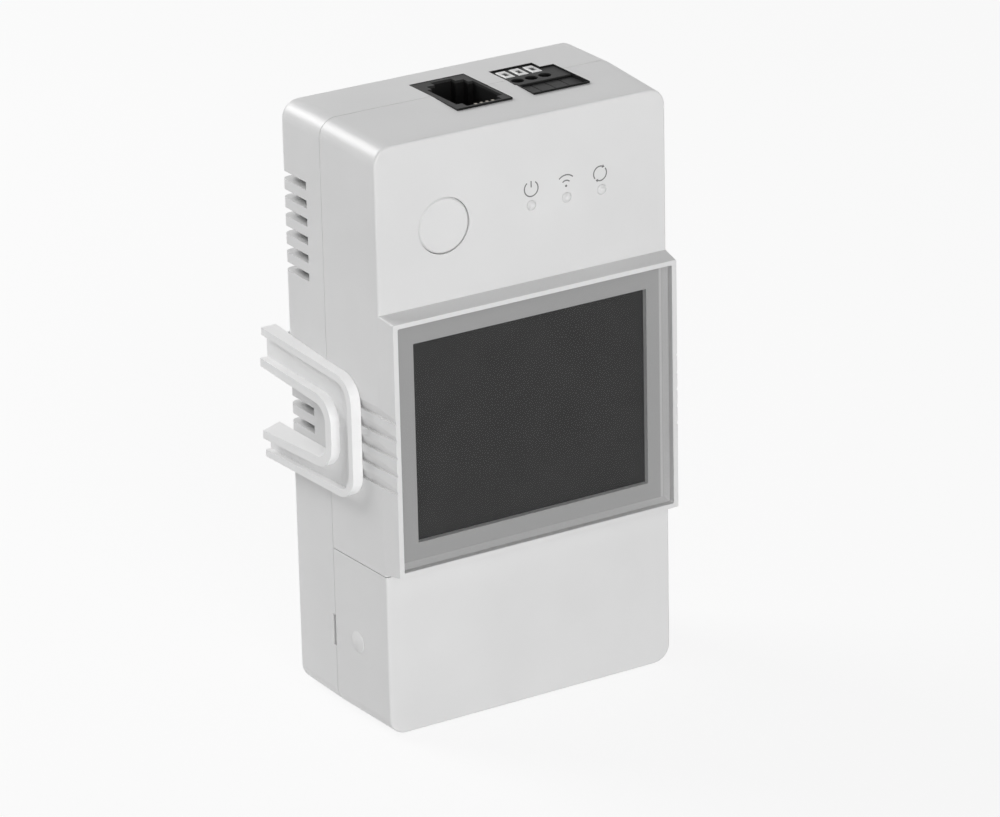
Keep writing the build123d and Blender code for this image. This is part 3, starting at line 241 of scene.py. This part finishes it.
def metal(name, colour, roughness, grain=0.15, depth=0.003):
    """Plated metal with fine drawing marks and dull patches."""
    material, tree, shader, _ = new_material(name)
    where = place(tree)
    marks = noise(tree, mapped(tree, where, {"Scale": DRAWN}), grain * MM, detail=4.0, roughness=0.7)
    dull = spread(tree, noise(tree, where, DULL_SIZE))
    dark = tuple(DULL_SHARE * c for c in colour)
    feed(tree, shader, {
        "Base Color": mix_colour(tree, dull, dark, colour),
        "Metallic": 1.0,
        "Roughness": spread(tree, marks, roughness - 0.08, roughness + 0.08),
        "Normal": bump(tree, marks, depth * MM),
    })
    return material


def coated(name, colour, roughness, vary=0.12, grain=0.3, depth=0.004, edge=0.1):
    """A coated, dipped or wound inner part in a plain colour that varies by a share."""
    material, tree, shader, _ = new_material(name)
    where = place(tree)
    patches = spread(tree, noise(tree, where, PATCH_SIZE))
    low = tuple(c * (1 - vary) for c in colour)
    high = tuple(min(1.0, c * (1 + vary)) for c in colour)
    tone = mix_colour(tree, patches, low, high)
    fine = noise(tree, where, grain * MM)
    feed(tree, shader, {
        "Base Color": tone,
        "Roughness": spread(tree, fine, roughness - 0.06, roughness + 0.06),
        "Normal": bump(tree, fine, depth * MM, soft_edges(tree, edge * MM)),
    })
    return material


def clear_sheet(name):
    """Clear sheet: shows what is behind it and mirrors a little at its front face only."""
    material, tree, shader, out = new_material(name)
    clear = tree.nodes.new("ShaderNodeBsdfTransparent")
    feed(tree, clear, {"Color": (0.97, 0.97, 0.97)})
    waves = noise(tree, place(tree), WAVE_SIZE, detail=1.0)
    feed(tree, shader, {
        "Base Color": (0.9, 0.9, 0.9),
        "Metallic": 1.0,
        "Roughness": spread(tree, waves, 0.05, 0.06),
    })
    fresnel = tree.nodes.new("ShaderNodeFresnel")
    feed(tree, fresnel, {"IOR": COVER_IOR})
    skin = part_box("display_lens")[0][1] + COVER_SKIN
    at_front = calculate(tree, "LESS_THAN", component(tree, place(tree), "Y"), skin)
    share = calculate(tree, "MULTIPLY", fresnel.outputs["Fac"], at_front)
    both = mix_shader(tree, share, clear.outputs["BSDF"], shader.outputs["BSDF"])
    feed(tree, out, {"Surface": both})
    return material


def milky(name, value):
    """Milky light guide: glossy, a little translucent, with rounded prong ends."""
    material, tree, shader, _ = new_material(name)
    cloud = spread(tree, noise(tree, place(tree), CLOUD_SIZE, detail=2.0))
    feed(tree, shader, {
        "Base Color": grey_range(tree, cloud, value, vary=4),
        "Roughness": 0.22,
        "Subsurface Weight": 0.6,
        "Subsurface Radius": (1.0, 1.0, 1.0),
        "Subsurface Scale": 0.4 * MM,
        "Normal": bump(tree, cloud, 0.002 * MM, soft_edges(tree, 0.45 * MM)),
    })
    return material


def mask_print(name, front, side):
    """Printed mask: matt grey in front, with painted light on the cut sides of its window, which get a
    paler grey to offset their shade.
    """
    material, tree, shader, _ = new_material(name)
    speck = spread(tree, noise(tree, place(tree), SPECK_SIZE, detail=2.0))
    face = grey_range(tree, speck, front, vary=1)
    feed(tree, shader, {
        # Faces that do not look along Y get the paler side grey: painted light on the window's cut
        # sides
        "Base Color": mix_colour(tree, facing_share(tree, "Y"), grey(side), face),
        "Roughness": spread(tree, speck, 0.55, 0.62),
    })
    return material


def dark_screen(name, value):
    """Switched-off screen: near black, with a barely visible unevenness of its film."""
    material, tree, shader, _ = new_material(name)
    film = spread(tree, noise(tree, place(tree), FILM_SIZE, detail=2.0))
    feed(tree, shader, {
        "Base Color": grey_range(tree, film, value, vary=2),
        "Roughness": spread(tree, film, 0.46, 0.52),
        "Specular IOR Level": 0.1,
    })
    return material


def board(name, mask, copper):
    """Circuit board: solder mask over a faint pattern of tracks."""
    material, tree, shader, _ = new_material(name)
    where = place(tree)
    tracks = tree.nodes.new("ShaderNodeTexBrick")
    feed(tree, tracks, {
        "Vector": mapped(tree, where, {"Rotation": (math.pi / 2, 0, 0)}),
        "Scale": 1 / TRACK_SIZE,
        "Mortar Size": 0.06,
        "Mortar Smooth": 0.1,
        "Row Height": 0.6,
    })
    pattern = tracks.outputs["Fac"]
    weave = bump(tree, noise(tree, where, WEAVE_SIZE, detail=2.0), 0.004 * MM)
    feed(tree, shader, {
        "Base Color": mix_colour(tree, pattern, mask, copper),
        "Roughness": 0.35,
        "Normal": bump(tree, pattern, 0.02 * MM, weave),
    })
    return material


def key_plastic(name, face, painted_recess_shade):
    """Release key: white, with painted shade: grey on the key below a level just under its top, which
    shows in the recess of its top.
    """
    material, tree, shader, _ = new_material(name)
    where = place(tree)
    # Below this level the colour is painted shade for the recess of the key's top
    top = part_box("release_key_1")[1][2] - KEY_EDGE
    above = calculate(tree, "GREATER_THAN", component(tree, where, "Z"), top)
    fine = noise(tree, where, KEY_GRAIN, detail=3.0)
    light = grey_range(tree, fine, face, vary=3)
    feed(tree, shader, {
        "Base Color": mix_colour(tree, above, grey(painted_recess_shade), light),
        "Roughness": spread(tree, fine, 0.35, 0.45),
        "Normal": bump(tree, fine, 0.002 * MM),
    })
    return material


def flat_print(name, value):
    """Screen-printed ink, also used for the painted glints and painted shade of the cover's edge: dull
    grey with a slightly uneven coat.
    """
    material, tree, shader, _ = new_material(name)
    coat = spread(tree, noise(tree, place(tree), COAT_SIZE, detail=3.0))
    feed(tree, shader, {
        "Base Color": grey_range(tree, coat, value, vary=6),
        "Roughness": spread(tree, coat, 0.55, 0.7),
    })
    return material


HOUSING_TONE = 222
CLIP_TONE = 236
MATERIALS = {
    "housing_plastic": moulded("housing_plastic", HOUSING_TONE, 0.36),
    "clip_plastic": moulded("clip_plastic", CLIP_TONE, 0.4),
    "button_plastic": moulded("button_plastic", HOUSING_TONE + 1, 0.4, edge=0.1),
    "clear_plastic": clear_sheet("clear_plastic"),
    "guide_plastic": milky("guide_plastic", HOUSING_TONE + 8),
    "lamp_package": coated("lamp_package", (0.75, 0.74, 0.62), 0.4),
    # The paler side grey of the mask is painted light on its window's cut sides
    "mask_print": mask_print("mask_print", front=160, side=205),
    "screen_dark": dark_screen("screen_dark", 60),
    "backlight_plastic": moulded("backlight_plastic", 225, 0.4),
    "circuit_board": board("circuit_board", (0.008, 0.085, 0.03), (0.02, 0.16, 0.06)),
    "circuit_board_dark": board("circuit_board_dark", (0.006, 0.012, 0.03), (0.015, 0.03, 0.07)),
    "shield_metal": metal("shield_metal", (0.68, 0.68, 0.66), 0.35),
    "screw_metal": metal("screw_metal", (0.6, 0.6, 0.6), 0.32),
    "contact_metal": metal("contact_metal", (0.83, 0.66, 0.34), 0.25),
    "clamp_metal": metal("clamp_metal", (0.66, 0.6, 0.45), 0.35),
    "black_plastic": moulded("black_plastic", 18, 0.5, gloss=0.2),
    "relay_plastic": coated("relay_plastic", (0.02, 0.06, 0.25), 0.3),
    "core_ferrite": coated("core_ferrite", (0.03, 0.03, 0.032), 0.7, depth=0.02),
    "winding_tape": coated("winding_tape", (0.72, 0.5, 0.04), 0.35),
    "capacitor_sleeve": coated("capacitor_sleeve", (0.012, 0.012, 0.03), 0.3),
    "fuse_plastic": coated("fuse_plastic", (0.12, 0.04, 0.02), 0.4),
    "varistor_coat": coated("varistor_coat", (0.03, 0.1, 0.3), 0.4, depth=0.02),
    "terminal_plastic": moulded("terminal_plastic", 52, 0.55, gloss=0.25),
    "key_plastic": key_plastic("key_plastic", face=234, painted_recess_shade=150),
}
PRINT = flat_print("icon_print", 112)
# Painted glint of the clear cover's edge, made as flat print
EDGE_PAINTED_GLINT = flat_print("cover_edge_painted_glint", 186)
# Painted shade along the clear cover's edge, made as flat print
EDGE_PAINTED_SHADE = flat_print("cover_edge_painted_shade", 146)
SOLDER = metal("solder", (0.62, 0.62, 0.6), 0.3)
WIRE_TIP = metal("wire_tip", (0.3, 0.28, 0.24), 0.45)
# Grey of the socket tops: on the black jack it is painted light, a paler copy of the black for its lit
# top face; on the terminal it is the terminal's own grey
SOCKET_FLANGE = moulded("socket_flange", 52, 0.5, gloss=0.12)

for entry in frame["record"]["subparts"]:
    piece = nodes[entry["node"]]
    piece.data.materials.clear()
    piece.data.materials.append(MATERIALS[entry["material_slot"]])
    for polygon in piece.data.polygons:
        polygon.material_index = 0


# Building blocks of the pieces. Lengths are in millimetres unless a comment says metres.
FACING = 0.99
WELD = 0.001


def make_piece(name, points, faces, material, body=HOUSING):
    """A mesh piece that rides on a body; points are in metres in the frame."""
    mesh = bpy.data.meshes.new(name)
    mesh.from_pydata([tuple(p) for p in points], [], faces)
    mesh.update()
    mesh.materials.append(material)
    piece = bpy.data.objects.new(name, mesh)
    scene.collection.objects.link(piece)
    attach(piece, body)
    return piece


def smooth(piece):
    """Shades all faces of a piece as one round surface."""
    for polygon in piece.data.polygons:
        polygon.use_smooth = True


def box_mm(node):
    """Lowest and highest corners of a CAD node."""
    low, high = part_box(node)
    return [c / MM for c in low], [c / MM for c in high]


def arc(centre, radius, start, end, steps=24):
    """Points on an arc, angles in degrees anticlockwise from the right as seen from the front."""
    angles = [math.radians(start + (end - start) * i / steps) for i in range(steps + 1)]
    return [(centre[0] + radius * math.cos(a), centre[1] + radius * math.sin(a)) for a in angles]


def ring(x, z, radius, depth, sides):
    """Points in metres on an upright circle round (x, z)."""
    angles = [2 * math.pi * i / sides for i in range(sides)]
    return [
        ((x + radius * math.cos(a)) * MM, depth * MM, (z + radius * math.sin(a)) * MM)
        for a in angles
    ]


def band(path, width):
    """Outline of a stroke of even width along a path: its left side and its right side."""
    left, right = [], []
    for i, (x, z) in enumerate(path):
        before = path[max(i - 1, 0)]
        after = path[min(i + 1, len(path) - 1)]
        along = Vector((after[0] - before[0], after[1] - before[1])).normalized()
        left.append((x - along.y * width / 2, z + along.x * width / 2))
        right.append((x + along.y * width / 2, z - along.x * width / 2))
    return left, right


def printed(name, strokes, shapes, front, thickness, material):
    """Flat print on an upright face: strokes as (path, width) and filled shapes as outlines.

    Front is the y of the face, and the print stands in front of it."""
    points, faces = [], []

    def prism(outline, caps):
        first, count = len(points), len(outline)
        for depth in (front - thickness, front):
            points.extend((x * MM, depth * MM, z * MM) for x, z in outline)
        for face in caps:
            faces.append([first + i for i in face])
            faces.append([first + count + i for i in reversed(face)])
        for i in range(count):
            j = (i + 1) % count
            faces.append([first + j, first + i, first + count + i, first + count + j])

    for path, width in strokes:
        left, right = band(path, width)
        n = len(path)
        outline = right + left[::-1]
        prism(outline, [(i, i + 1, 2 * n - 2 - i, 2 * n - 1 - i) for i in range(n - 1)])
    for outline in shapes:
        prism(outline, [tuple(range(len(outline)))])
    make_piece(name, points, faces, material)


def raised_face(name, node, outward, depth, lift, material):
    """Plate that raises the faces of a node that look outward and lie within a depth of the outermost.

    Its corners and faces are sorted, so that their order is the same in each run."""
    source = nodes[node].data
    outward = Vector(outward)
    outermost = max(vertex.co.dot(outward) for vertex in source.vertices)
    plate = bmesh.new()
    copies = {}
    for polygon in source.polygons:
        corners = [source.vertices[i].co for i in polygon.vertices]
        lowest = min(c.dot(outward) for c in corners)
        if polygon.normal.dot(outward) < FACING or lowest < outermost - depth * MM:
            continue
        for i in polygon.vertices:
            if i not in copies:
                copies[i] = plate.verts.new(source.vertices[i].co)
        plate.faces.new([copies[i] for i in polygon.vertices])
    bmesh.ops.remove_doubles(plate, verts=plate.verts, dist=WELD * MM)
    raised = bmesh.ops.extrude_face_region(plate, geom=plate.faces[:])
    for item in raised["geom"]:
        if isinstance(item, bmesh.types.BMVert):
            item.co += outward * lift * MM
    bmesh.ops.recalc_face_normals(plate, faces=plate.faces)
    corners = sorted(plate.verts, key=lambda corner: tuple(corner.co))
    numbers = {corner: i for i, corner in enumerate(corners)}
    faces = sorted(([numbers[corner] for corner in face.verts] for face in plate.faces), key=sorted)
    make_piece(name, [corner.co for corner in corners], faces, material)
    plate.free()


# Printed signs above the three lights, each at (x, z)
FRONT = box_mm("power_button")[0][1]
LIGHT_LOW, LIGHT_HIGH = box_mm("indicator_lights")
LIGHT_WIDTH = 1.6
LIGHT_UP = (LIGHT_LOW[2] + LIGHT_HIGH[2]) / 2
LIGHT_PITCH = (LIGHT_HIGH[0] - LIGHT_LOW[0] - LIGHT_WIDTH) / 2
LIGHT_X = [LIGHT_LOW[0] + LIGHT_WIDTH / 2 + i * LIGHT_PITCH for i in range(3)]
SIGN_RISE = 2.7
SIGN_UP = LIGHT_UP + SIGN_RISE
STROKE = 0.2
INK = 0.01

# Broken ring with a bar in its gap
POWER_RADIUS = 1.24
POWER_GAP = 37
BAR_LOW = 0.22
BAR_HIGH = 1.25
power_at = (LIGHT_X[0], SIGN_UP)
power_ring = arc(power_at, POWER_RADIUS, 90 + POWER_GAP, 450 - POWER_GAP, steps=40)
power_bar = [(power_at[0], power_at[1] + BAR_LOW), (power_at[0], power_at[1] + BAR_HIGH)]
printed("sign_power", [(power_ring, STROKE), (power_bar, STROKE)], [], FRONT, INK, PRINT)

# Dot with two waves over it
WAVE_LEFT = 0.1
WAVE_DROP = 0.8
WAVE_HALF = 44
WAVE_RADII = (0.9, 1.8)
DOT_RADIUS = 0.2
wave_at = (LIGHT_X[1] - WAVE_LEFT, SIGN_UP - WAVE_DROP)
waves = [(arc(wave_at, r, 90 - WAVE_HALF, 90 + WAVE_HALF), STROKE) for r in WAVE_RADII]
wave_dot = arc(wave_at, DOT_RADIUS, 0, 360, steps=16)[:-1]
printed("sign_wireless", waves, [wave_dot], FRONT, INK, PRINT)

# Two arrows that chase each other round
CYCLE_LEFT = 0.3
CYCLE_RADIUS = 1.18
CYCLE_STARTS = (68, 248)
CYCLE_SWEEP = 150
HEAD_LENGTH = 0.42
HEAD_SHARE = 0.7


def arrow_head(centre, radius, angle, size):
    """Small triangle at the end of an arc, pointing clockwise along it."""
    a = math.radians(angle)
    x, z = centre[0] + radius * math.cos(a), centre[1] + radius * math.sin(a)
    along = (math.sin(a), -math.cos(a))
    out = (math.cos(a), math.sin(a))
    return [
        (x + along[0] * size, z + along[1] * size),
        (x - out[0] * size * HEAD_SHARE, z - out[1] * size * HEAD_SHARE),
        (x + out[0] * size * HEAD_SHARE, z + out[1] * size * HEAD_SHARE),
    ]


cycle_at = (LIGHT_X[2] - CYCLE_LEFT, SIGN_UP)
cycle_arcs = [(arc(cycle_at, CYCLE_RADIUS, a, a + CYCLE_SWEEP), STROKE) for a in CYCLE_STARTS]
cycle_heads = [arrow_head(cycle_at, CYCLE_RADIUS, a, HEAD_LENGTH) for a in CYCLE_STARTS]
printed("sign_cycle", cycle_arcs, cycle_heads, FRONT, INK, PRINT)

# Ink layer of the mask, on the back of the clear cover
FORWARD = (0, -1, 0)
INK_DEPTH = 0.01
MASK_LIFT = 0.02
MASK_FRONT = box_mm("display_mask")[0][1] - MASK_LIFT
raised_face(
    "mask_ink", "display_mask", FORWARD, INK_DEPTH, MASK_LIFT, MATERIALS["mask_print"]
)

# Edge of the clear cover, drawn as fine lines of painted glint and painted shade seen through its
# front
LINE = 0.004
cover_low, cover_high = box_mm("display_lens")


def cover_line(name, inset_side, inset_low, width, material, sides):
    """Fine lines of painted light, glint or shade by the material given, that run round the edge of
    the clear cover at an inset.
    """
    left, right = cover_low[0] + inset_side, cover_high[0] - inset_side
    low, high = cover_low[2] + inset_low, cover_high[2] - inset_low
    runs = {
        "right": [(right, low), (right, high)],
        "low": [(left, low), (right, low)],
        "left": [(left, low), (left, high)],
        "high": [(left, high), (right, high)],
    }
    printed(name, [(runs[s], width) for s in sides], [], MASK_FRONT, LINE, material)


STEP_INSET = {"inset_side": 1.05, "inset_low": 0.69}
FINE_INSET = {"inset_side": 0.45, "inset_low": 0.3}
RIM_INSET = {"inset_side": 0.08, "inset_low": 0.08}
# Light lines of painted glint along the right and lower edges of the cover
cover_line("cover_edge_wide", **STEP_INSET, width=0.45, material=EDGE_PAINTED_GLINT, sides=["right"])
cover_line("cover_edge_fine", **FINE_INSET, width=0.16, material=EDGE_PAINTED_GLINT, sides=["right", "low"])
cover_line("cover_edge_step", **STEP_INSET, width=0.16, material=EDGE_PAINTED_GLINT, sides=["low"])
# A dark line of painted shade along the left and upper edges of the cover
cover_line("cover_edge_shade", **RIM_INSET, width=0.12, material=EDGE_PAINTED_SHADE, sides=["left", "high"])


def wedge(start, end, inward, width):
    """Corners in metres and faces of a wedge whose sloping side looks forward and inward."""
    corners = []
    for x, y, z in (start, end):
        corners.append((x * MM, y * MM, z * MM))
        corners.append((x * MM, (y + width) * MM, z * MM))
        corners.append(((x + inward[0] * width) * MM, (y + width) * MM, (z + inward[1] * width) * MM))
    return corners, [(0, 1, 2), (5, 4, 3), (0, 3, 4, 1), (1, 4, 5, 2), (2, 5, 3, 0)]


def cover_bevel(name, width, material):
    """Opaque wedge in the painted-glint grey that stands for the polished bevel of the clear cover,
    seen at its right and lower edges.
    """
    front = MASK_FRONT - width
    meeting = (cover_high[0], front, cover_low[2])
    right_end = (cover_high[0], front, cover_high[2])
    left_end = (cover_low[0], front, cover_low[2])
    points, faces = [], []
    for far_end, inward in ((right_end, (-1, 0)), (left_end, (0, 1))):
        corners, sides = wedge(meeting, far_end, inward, width)
        faces.extend([len(points) + i for i in side] for side in sides)
        points.extend(corners)
    piece = make_piece(name, points, faces, material)
    solid = bmesh.new()
    solid.from_mesh(piece.data)
    bmesh.ops.recalc_face_normals(solid, faces=solid.faces)
    solid.to_mesh(piece.data)
    solid.free()


cover_bevel("cover_edge_bevel", width=0.75, material=EDGE_PAINTED_GLINT)

# Black collars that close the gaps round the two sockets in the top face
COLLAR_WALL = 0.08
COLLAR_REACH = 0.35
COLLAR_SINK = 0.03
HOUSING_TOP = box_mm("front_shell")[1][2]


def collar(name, outline, low):
    """Thin wall round an outline of (x, y) points, from inside its gap up to the surface."""
    count = len(outline)
    points, faces = [], []
    for i, (x, y) in enumerate(outline):
        before, after = outline[i - 1], outline[(i + 1) % count]
        first = Vector((x - before[0], y - before[1])).normalized()
        second = Vector((after[0] - x, after[1] - y)).normalized()
        out_x = x + COLLAR_WALL * (first.y + second.y)
        out_y = y - COLLAR_WALL * (first.x + second.x)
        for px, py in ((x, y), (out_x, out_y)):
            for up in (low, HOUSING_TOP - COLLAR_SINK):
                points.append((px * MM, py * MM, up * MM))
    for i in range(count):
        a, b = 4 * i, 4 * ((i + 1) % count)
        faces.append((a, a + 1, b + 1, b))
        faces.append((a + 2, b + 2, b + 3, a + 3))
        faces.append((a + 1, a + 3, b + 3, b + 1))
        faces.append((a, b, b + 2, a + 2))
    make_piece(name, points, faces, MATERIALS["black_plastic"])


jack_low, jack_high = box_mm("sensor_jack")
jack_outline = [
    (jack_low[0], jack_low[1]),
    (jack_high[0], jack_low[1]),
    (jack_high[0], jack_high[1]),
    (jack_low[0], jack_high[1]),
]
collar("jack_collar", jack_outline, jack_high[2] - COLLAR_REACH)

# Outline of the push-in terminal, whose row of keys stands out at the left and at the back
ROW_OVERHANG = 0.2
ROW_WIDTH = 7.85
ROW_START = 5.25
BLOCK_RUN = 10.5
ROW_END = 13.0
block_low, block_high = box_mm("sensor_terminal")
block_left, block_front = block_low[0] + ROW_OVERHANG, block_low[1]
row_right = block_low[0] + ROW_WIDTH
block_outline = [
    (block_left, block_front),
    (block_high[0], block_front),
    (block_high[0], block_front + BLOCK_RUN),
    (row_right, block_front + BLOCK_RUN),
    (row_right, block_front + ROW_END),
    (block_low[0], block_front + ROW_END),
    (block_low[0], block_front + ROW_START),
    (block_left, block_front + ROW_START),
]
collar("terminal_collar", block_outline, block_high[2] - COLLAR_REACH)

# Top faces of the two sockets, in a grey that on the jack is painted light
UPWARD = (0, 0, 1)
JACK_DEPTH = 0.05
JACK_LIFT = 0.42
BLOCK_STEP = 0.45
BLOCK_LIFT = 0.2
raised_face("jack_flange", "sensor_jack", UPWARD, JACK_DEPTH, JACK_LIFT, SOCKET_FLANGE)
raised_face(
    "terminal_face", "sensor_terminal", UPWARD, BLOCK_STEP, BLOCK_LIFT, SOCKET_FLANGE
)

# Domed ends of the light guide
DOME_RADIUS = 0.83
DOME_HEIGHT = 0.45
DOME_SIDES = 28
DOME_RINGS = 7


def domes(name, places, material):
    """Spherical caps on the front face."""
    sphere = (DOME_RADIUS**2 + DOME_HEIGHT**2) / (2 * DOME_HEIGHT)
    reach = math.asin(DOME_RADIUS / sphere)
    points, faces = [], []
    for x, z in places:
        first = len(points)
        points.append((x * MM, (FRONT - DOME_HEIGHT) * MM, z * MM))
        for count in range(1, DOME_RINGS + 1):
            tilt = reach * count / DOME_RINGS
            depth = FRONT - DOME_HEIGHT + sphere * (1 - math.cos(tilt))
            points.extend(ring(x, z, sphere * math.sin(tilt), depth, DOME_SIDES))
        for i in range(DOME_SIDES):
            j = (i + 1) % DOME_SIDES
            faces.append((first, first + 1 + i, first + 1 + j))
            for count in range(DOME_RINGS - 1):
                a = first + 1 + count * DOME_SIDES
                faces.append((a + i, a + DOME_SIDES + i, a + DOME_SIDES + j, a + j))
    smooth(make_piece(name, points, faces, material))


domes("light_domes", [(x, LIGHT_UP) for x in LIGHT_X], MATERIALS["guide_plastic"])

# Ends of the contact wires, seen in the front edge of the jack
WIRE_COUNT = 4
WIRE_WIDTH = 0.45
WIRE_RUN = 0.5
WIRE_FRONT = 0.35
WIRE_RISE = 0.02
WIRE_HEIGHT = 0.5


def contact_ends(name, material):
    """A row of small blocks that stand just above the flange of the jack."""
    low, high = box_mm("jack_contacts")
    step = (high[0] - low[0] - WIRE_WIDTH) / (WIRE_COUNT - 1)
    top = jack_high[2] + JACK_LIFT + WIRE_RISE
    y = jack_low[1] + WIRE_FRONT
    points, faces = [], []
    for i in range(WIRE_COUNT):
        x = low[0] + i * step
        outline = ((x, y), (x + WIRE_WIDTH, y), (x + WIRE_WIDTH, y + WIRE_RUN), (x, y + WIRE_RUN))
        first = len(points)
        for up in (top - WIRE_HEIGHT, top):
            points.extend((px * MM, py * MM, up * MM) for px, py in outline)
        faces.append((first, first + 3, first + 2, first + 1))
        faces.append((first + 4, first + 5, first + 6, first + 7))
        for a, b in ((0, 1), (1, 2), (2, 3), (3, 0)):
            faces.append((first + a, first + b, first + b + 4, first + a + 4))
    make_piece(name, points, faces, material)


contact_ends("contact_ends", WIRE_TIP)

# Solder joints on the back of the main board, with a profile in shares of radius and height
BOARD_BACK = box_mm("main_board")[1][1]
SOLDER_RADIUS = 0.75
SOLDER_HEIGHT = 0.7
SOLDER_SIDES = 14
SOLDER_PROFILE = ((1, 0), (0.6, 0.3), (0.38, 0.75), (0.28, 1))
LEAD_SHARE = 0.7


def solder_joints(name, places, material):
    """Concave cones of solder, each round a lead."""
    sides = SOLDER_SIDES
    points, faces = [], []
    for x, z in places:
        first = len(points)
        for wide, high in SOLDER_PROFILE:
            points.extend(ring(x, z, SOLDER_RADIUS * wide, BOARD_BACK + SOLDER_HEIGHT * high, sides))
        for count in range(len(SOLDER_PROFILE) - 1):
            for i in range(sides):
                j = (i + 1) % sides
                a, b = first + count * sides, first + (count + 1) * sides
                faces.append((a + i, a + j, b + j, b + i))
        faces.append([first + (len(SOLDER_PROFILE) - 1) * sides + i for i in range(sides)])
        faces.append([first + i for i in reversed(range(sides))])
    smooth(make_piece(name, points, faces, material))


def spaced(node, columns, rows, share_x=LEAD_SHARE, share_z=LEAD_SHARE):
    """Lead places of a node, on a grid that covers a share of it as seen from the front."""
    low, high = box_mm(node)
    x, z = (low[0] + high[0]) / 2, (low[2] + high[2]) / 2
    width, height = high[0] - low[0], high[2] - low[2]
    xs = [x + width * share_x * ((i + 0.5) / columns - 0.5) for i in range(columns)]
    zs = [z + height * share_z * ((i + 0.5) / rows - 0.5) for i in range(rows)]
    return [(a, b) for a in xs for b in zs]


leads = (
    spaced("relay", 2, 3)
    + spaced("transformer_bobbin", 2, 3)
    + spaced("filter_capacitors", 4, 1, share_x=0.8)
    + spaced("fuse", 2, 1)
    + spaced("varistor", 1, 2, share_x=0.0, share_z=1.5)
    + spaced("terminal_block", 6, 1, share_x=0.97)
)
solder_joints("solder_joints", leads, SOLDER)

# Floor, world and lamps, in metres and watts
WHITE = (1, 1, 1)
FLOOR_COLOUR = (0.82, 0.82, 0.82)
FLOOR_ROUGHNESS = 0.9
FLOOR_SHARE = 0.12
FLOOR_HALF = 4.0
FLOOR_DROP = 0.0002
WORLD_LIGHT = 0.15


def seen_directly(tree):
    """1 for rays that see the background itself or its mirror image, else 0."""
    path = tree.nodes.new("ShaderNodeLightPath")
    total = path.outputs["Is Camera Ray"]
    for ray in ("Is Glossy Ray", "Is Transmission Ray"):
        total = calculate(tree, "MAXIMUM", total, path.outputs[ray])
    return total


def make_floor():
    """Floor that looks near white and keeps a part of the object's shadow."""
    material, tree, shader, out = new_material("floor")
    feed(tree, shader, {"Base Color": FLOOR_COLOUR, "Roughness": FLOOR_ROUGHNESS})
    lit = shader.outputs["BSDF"]
    glow = tree.nodes.new("ShaderNodeEmission").outputs["Emission"]
    pale = mix_shader(tree, FLOOR_SHARE, glow, lit)
    feed(tree, out, {"Surface": mix_shader(tree, seen_directly(tree), lit, pale)})
    corners = [(x * FLOOR_HALF, y * FLOOR_HALF, 0) for x, y in ((-1, -1), (1, -1), (1, 1), (-1, 1))]
    mesh = bpy.data.meshes.new("floor")
    mesh.from_pydata(corners, [], [(0, 1, 2, 3)])
    mesh.materials.append(material)
    floor = bpy.data.objects.new("floor", mesh)
    scene.collection.objects.link(floor)
    floor.location.z = -FLOOR_DROP


def make_world():
    """White backdrop with a weak even light on the object."""
    world = bpy.data.worlds.new("studio")
    scene.world = world
    world.use_nodes = True
    tree = world.node_tree
    tree.nodes.clear()
    out = tree.nodes.new("ShaderNodeOutputWorld")
    backdrop = tree.nodes.new("ShaderNodeBackground")
    feed(tree, backdrop, {"Color": WHITE})
    ambient = tree.nodes.new("ShaderNodeBackground")
    feed(tree, ambient, {"Color": WHITE, "Strength": WORLD_LIGHT})
    seen = seen_directly(tree)
    both = mix_shader(tree, seen, ambient.outputs["Background"], backdrop.outputs["Background"])
    feed(tree, out, {"Surface": both})


def lamp(name, position, size, power):
    """Square soft light aimed at the middle of the object."""
    data = bpy.data.lights.new(name, "AREA")
    data.shape = "SQUARE"
    data.size = size
    data.energy = power
    item = bpy.data.objects.new(name, data)
    scene.collection.objects.link(item)
    item.location = position
    item.rotation_mode = "QUATERNION"
    aim = Vector((0, 0, cad_high[2] / 2)) - Vector(position)
    item.rotation_quaternion = aim.to_track_quat("-Z", "Y")


make_floor()
make_world()
lamp("front_lamp", position=(-0.35, -1.3, 0.55), size=0.9, power=7.5)
lamp("low_lamp", position=(-0.3, -1.3, 0.19), size=0.36, power=5.6)
lamp("back_lamp", position=(-0.25, 0.45, 0.4), size=0.3, power=2.4)
lamp("top_lamp", position=(0.1, 0.5, 1.4), size=0.9, power=1.0)
lamp("side_lamp", position=(1.3, 0.25, 0.2), size=0.9, power=2.8)
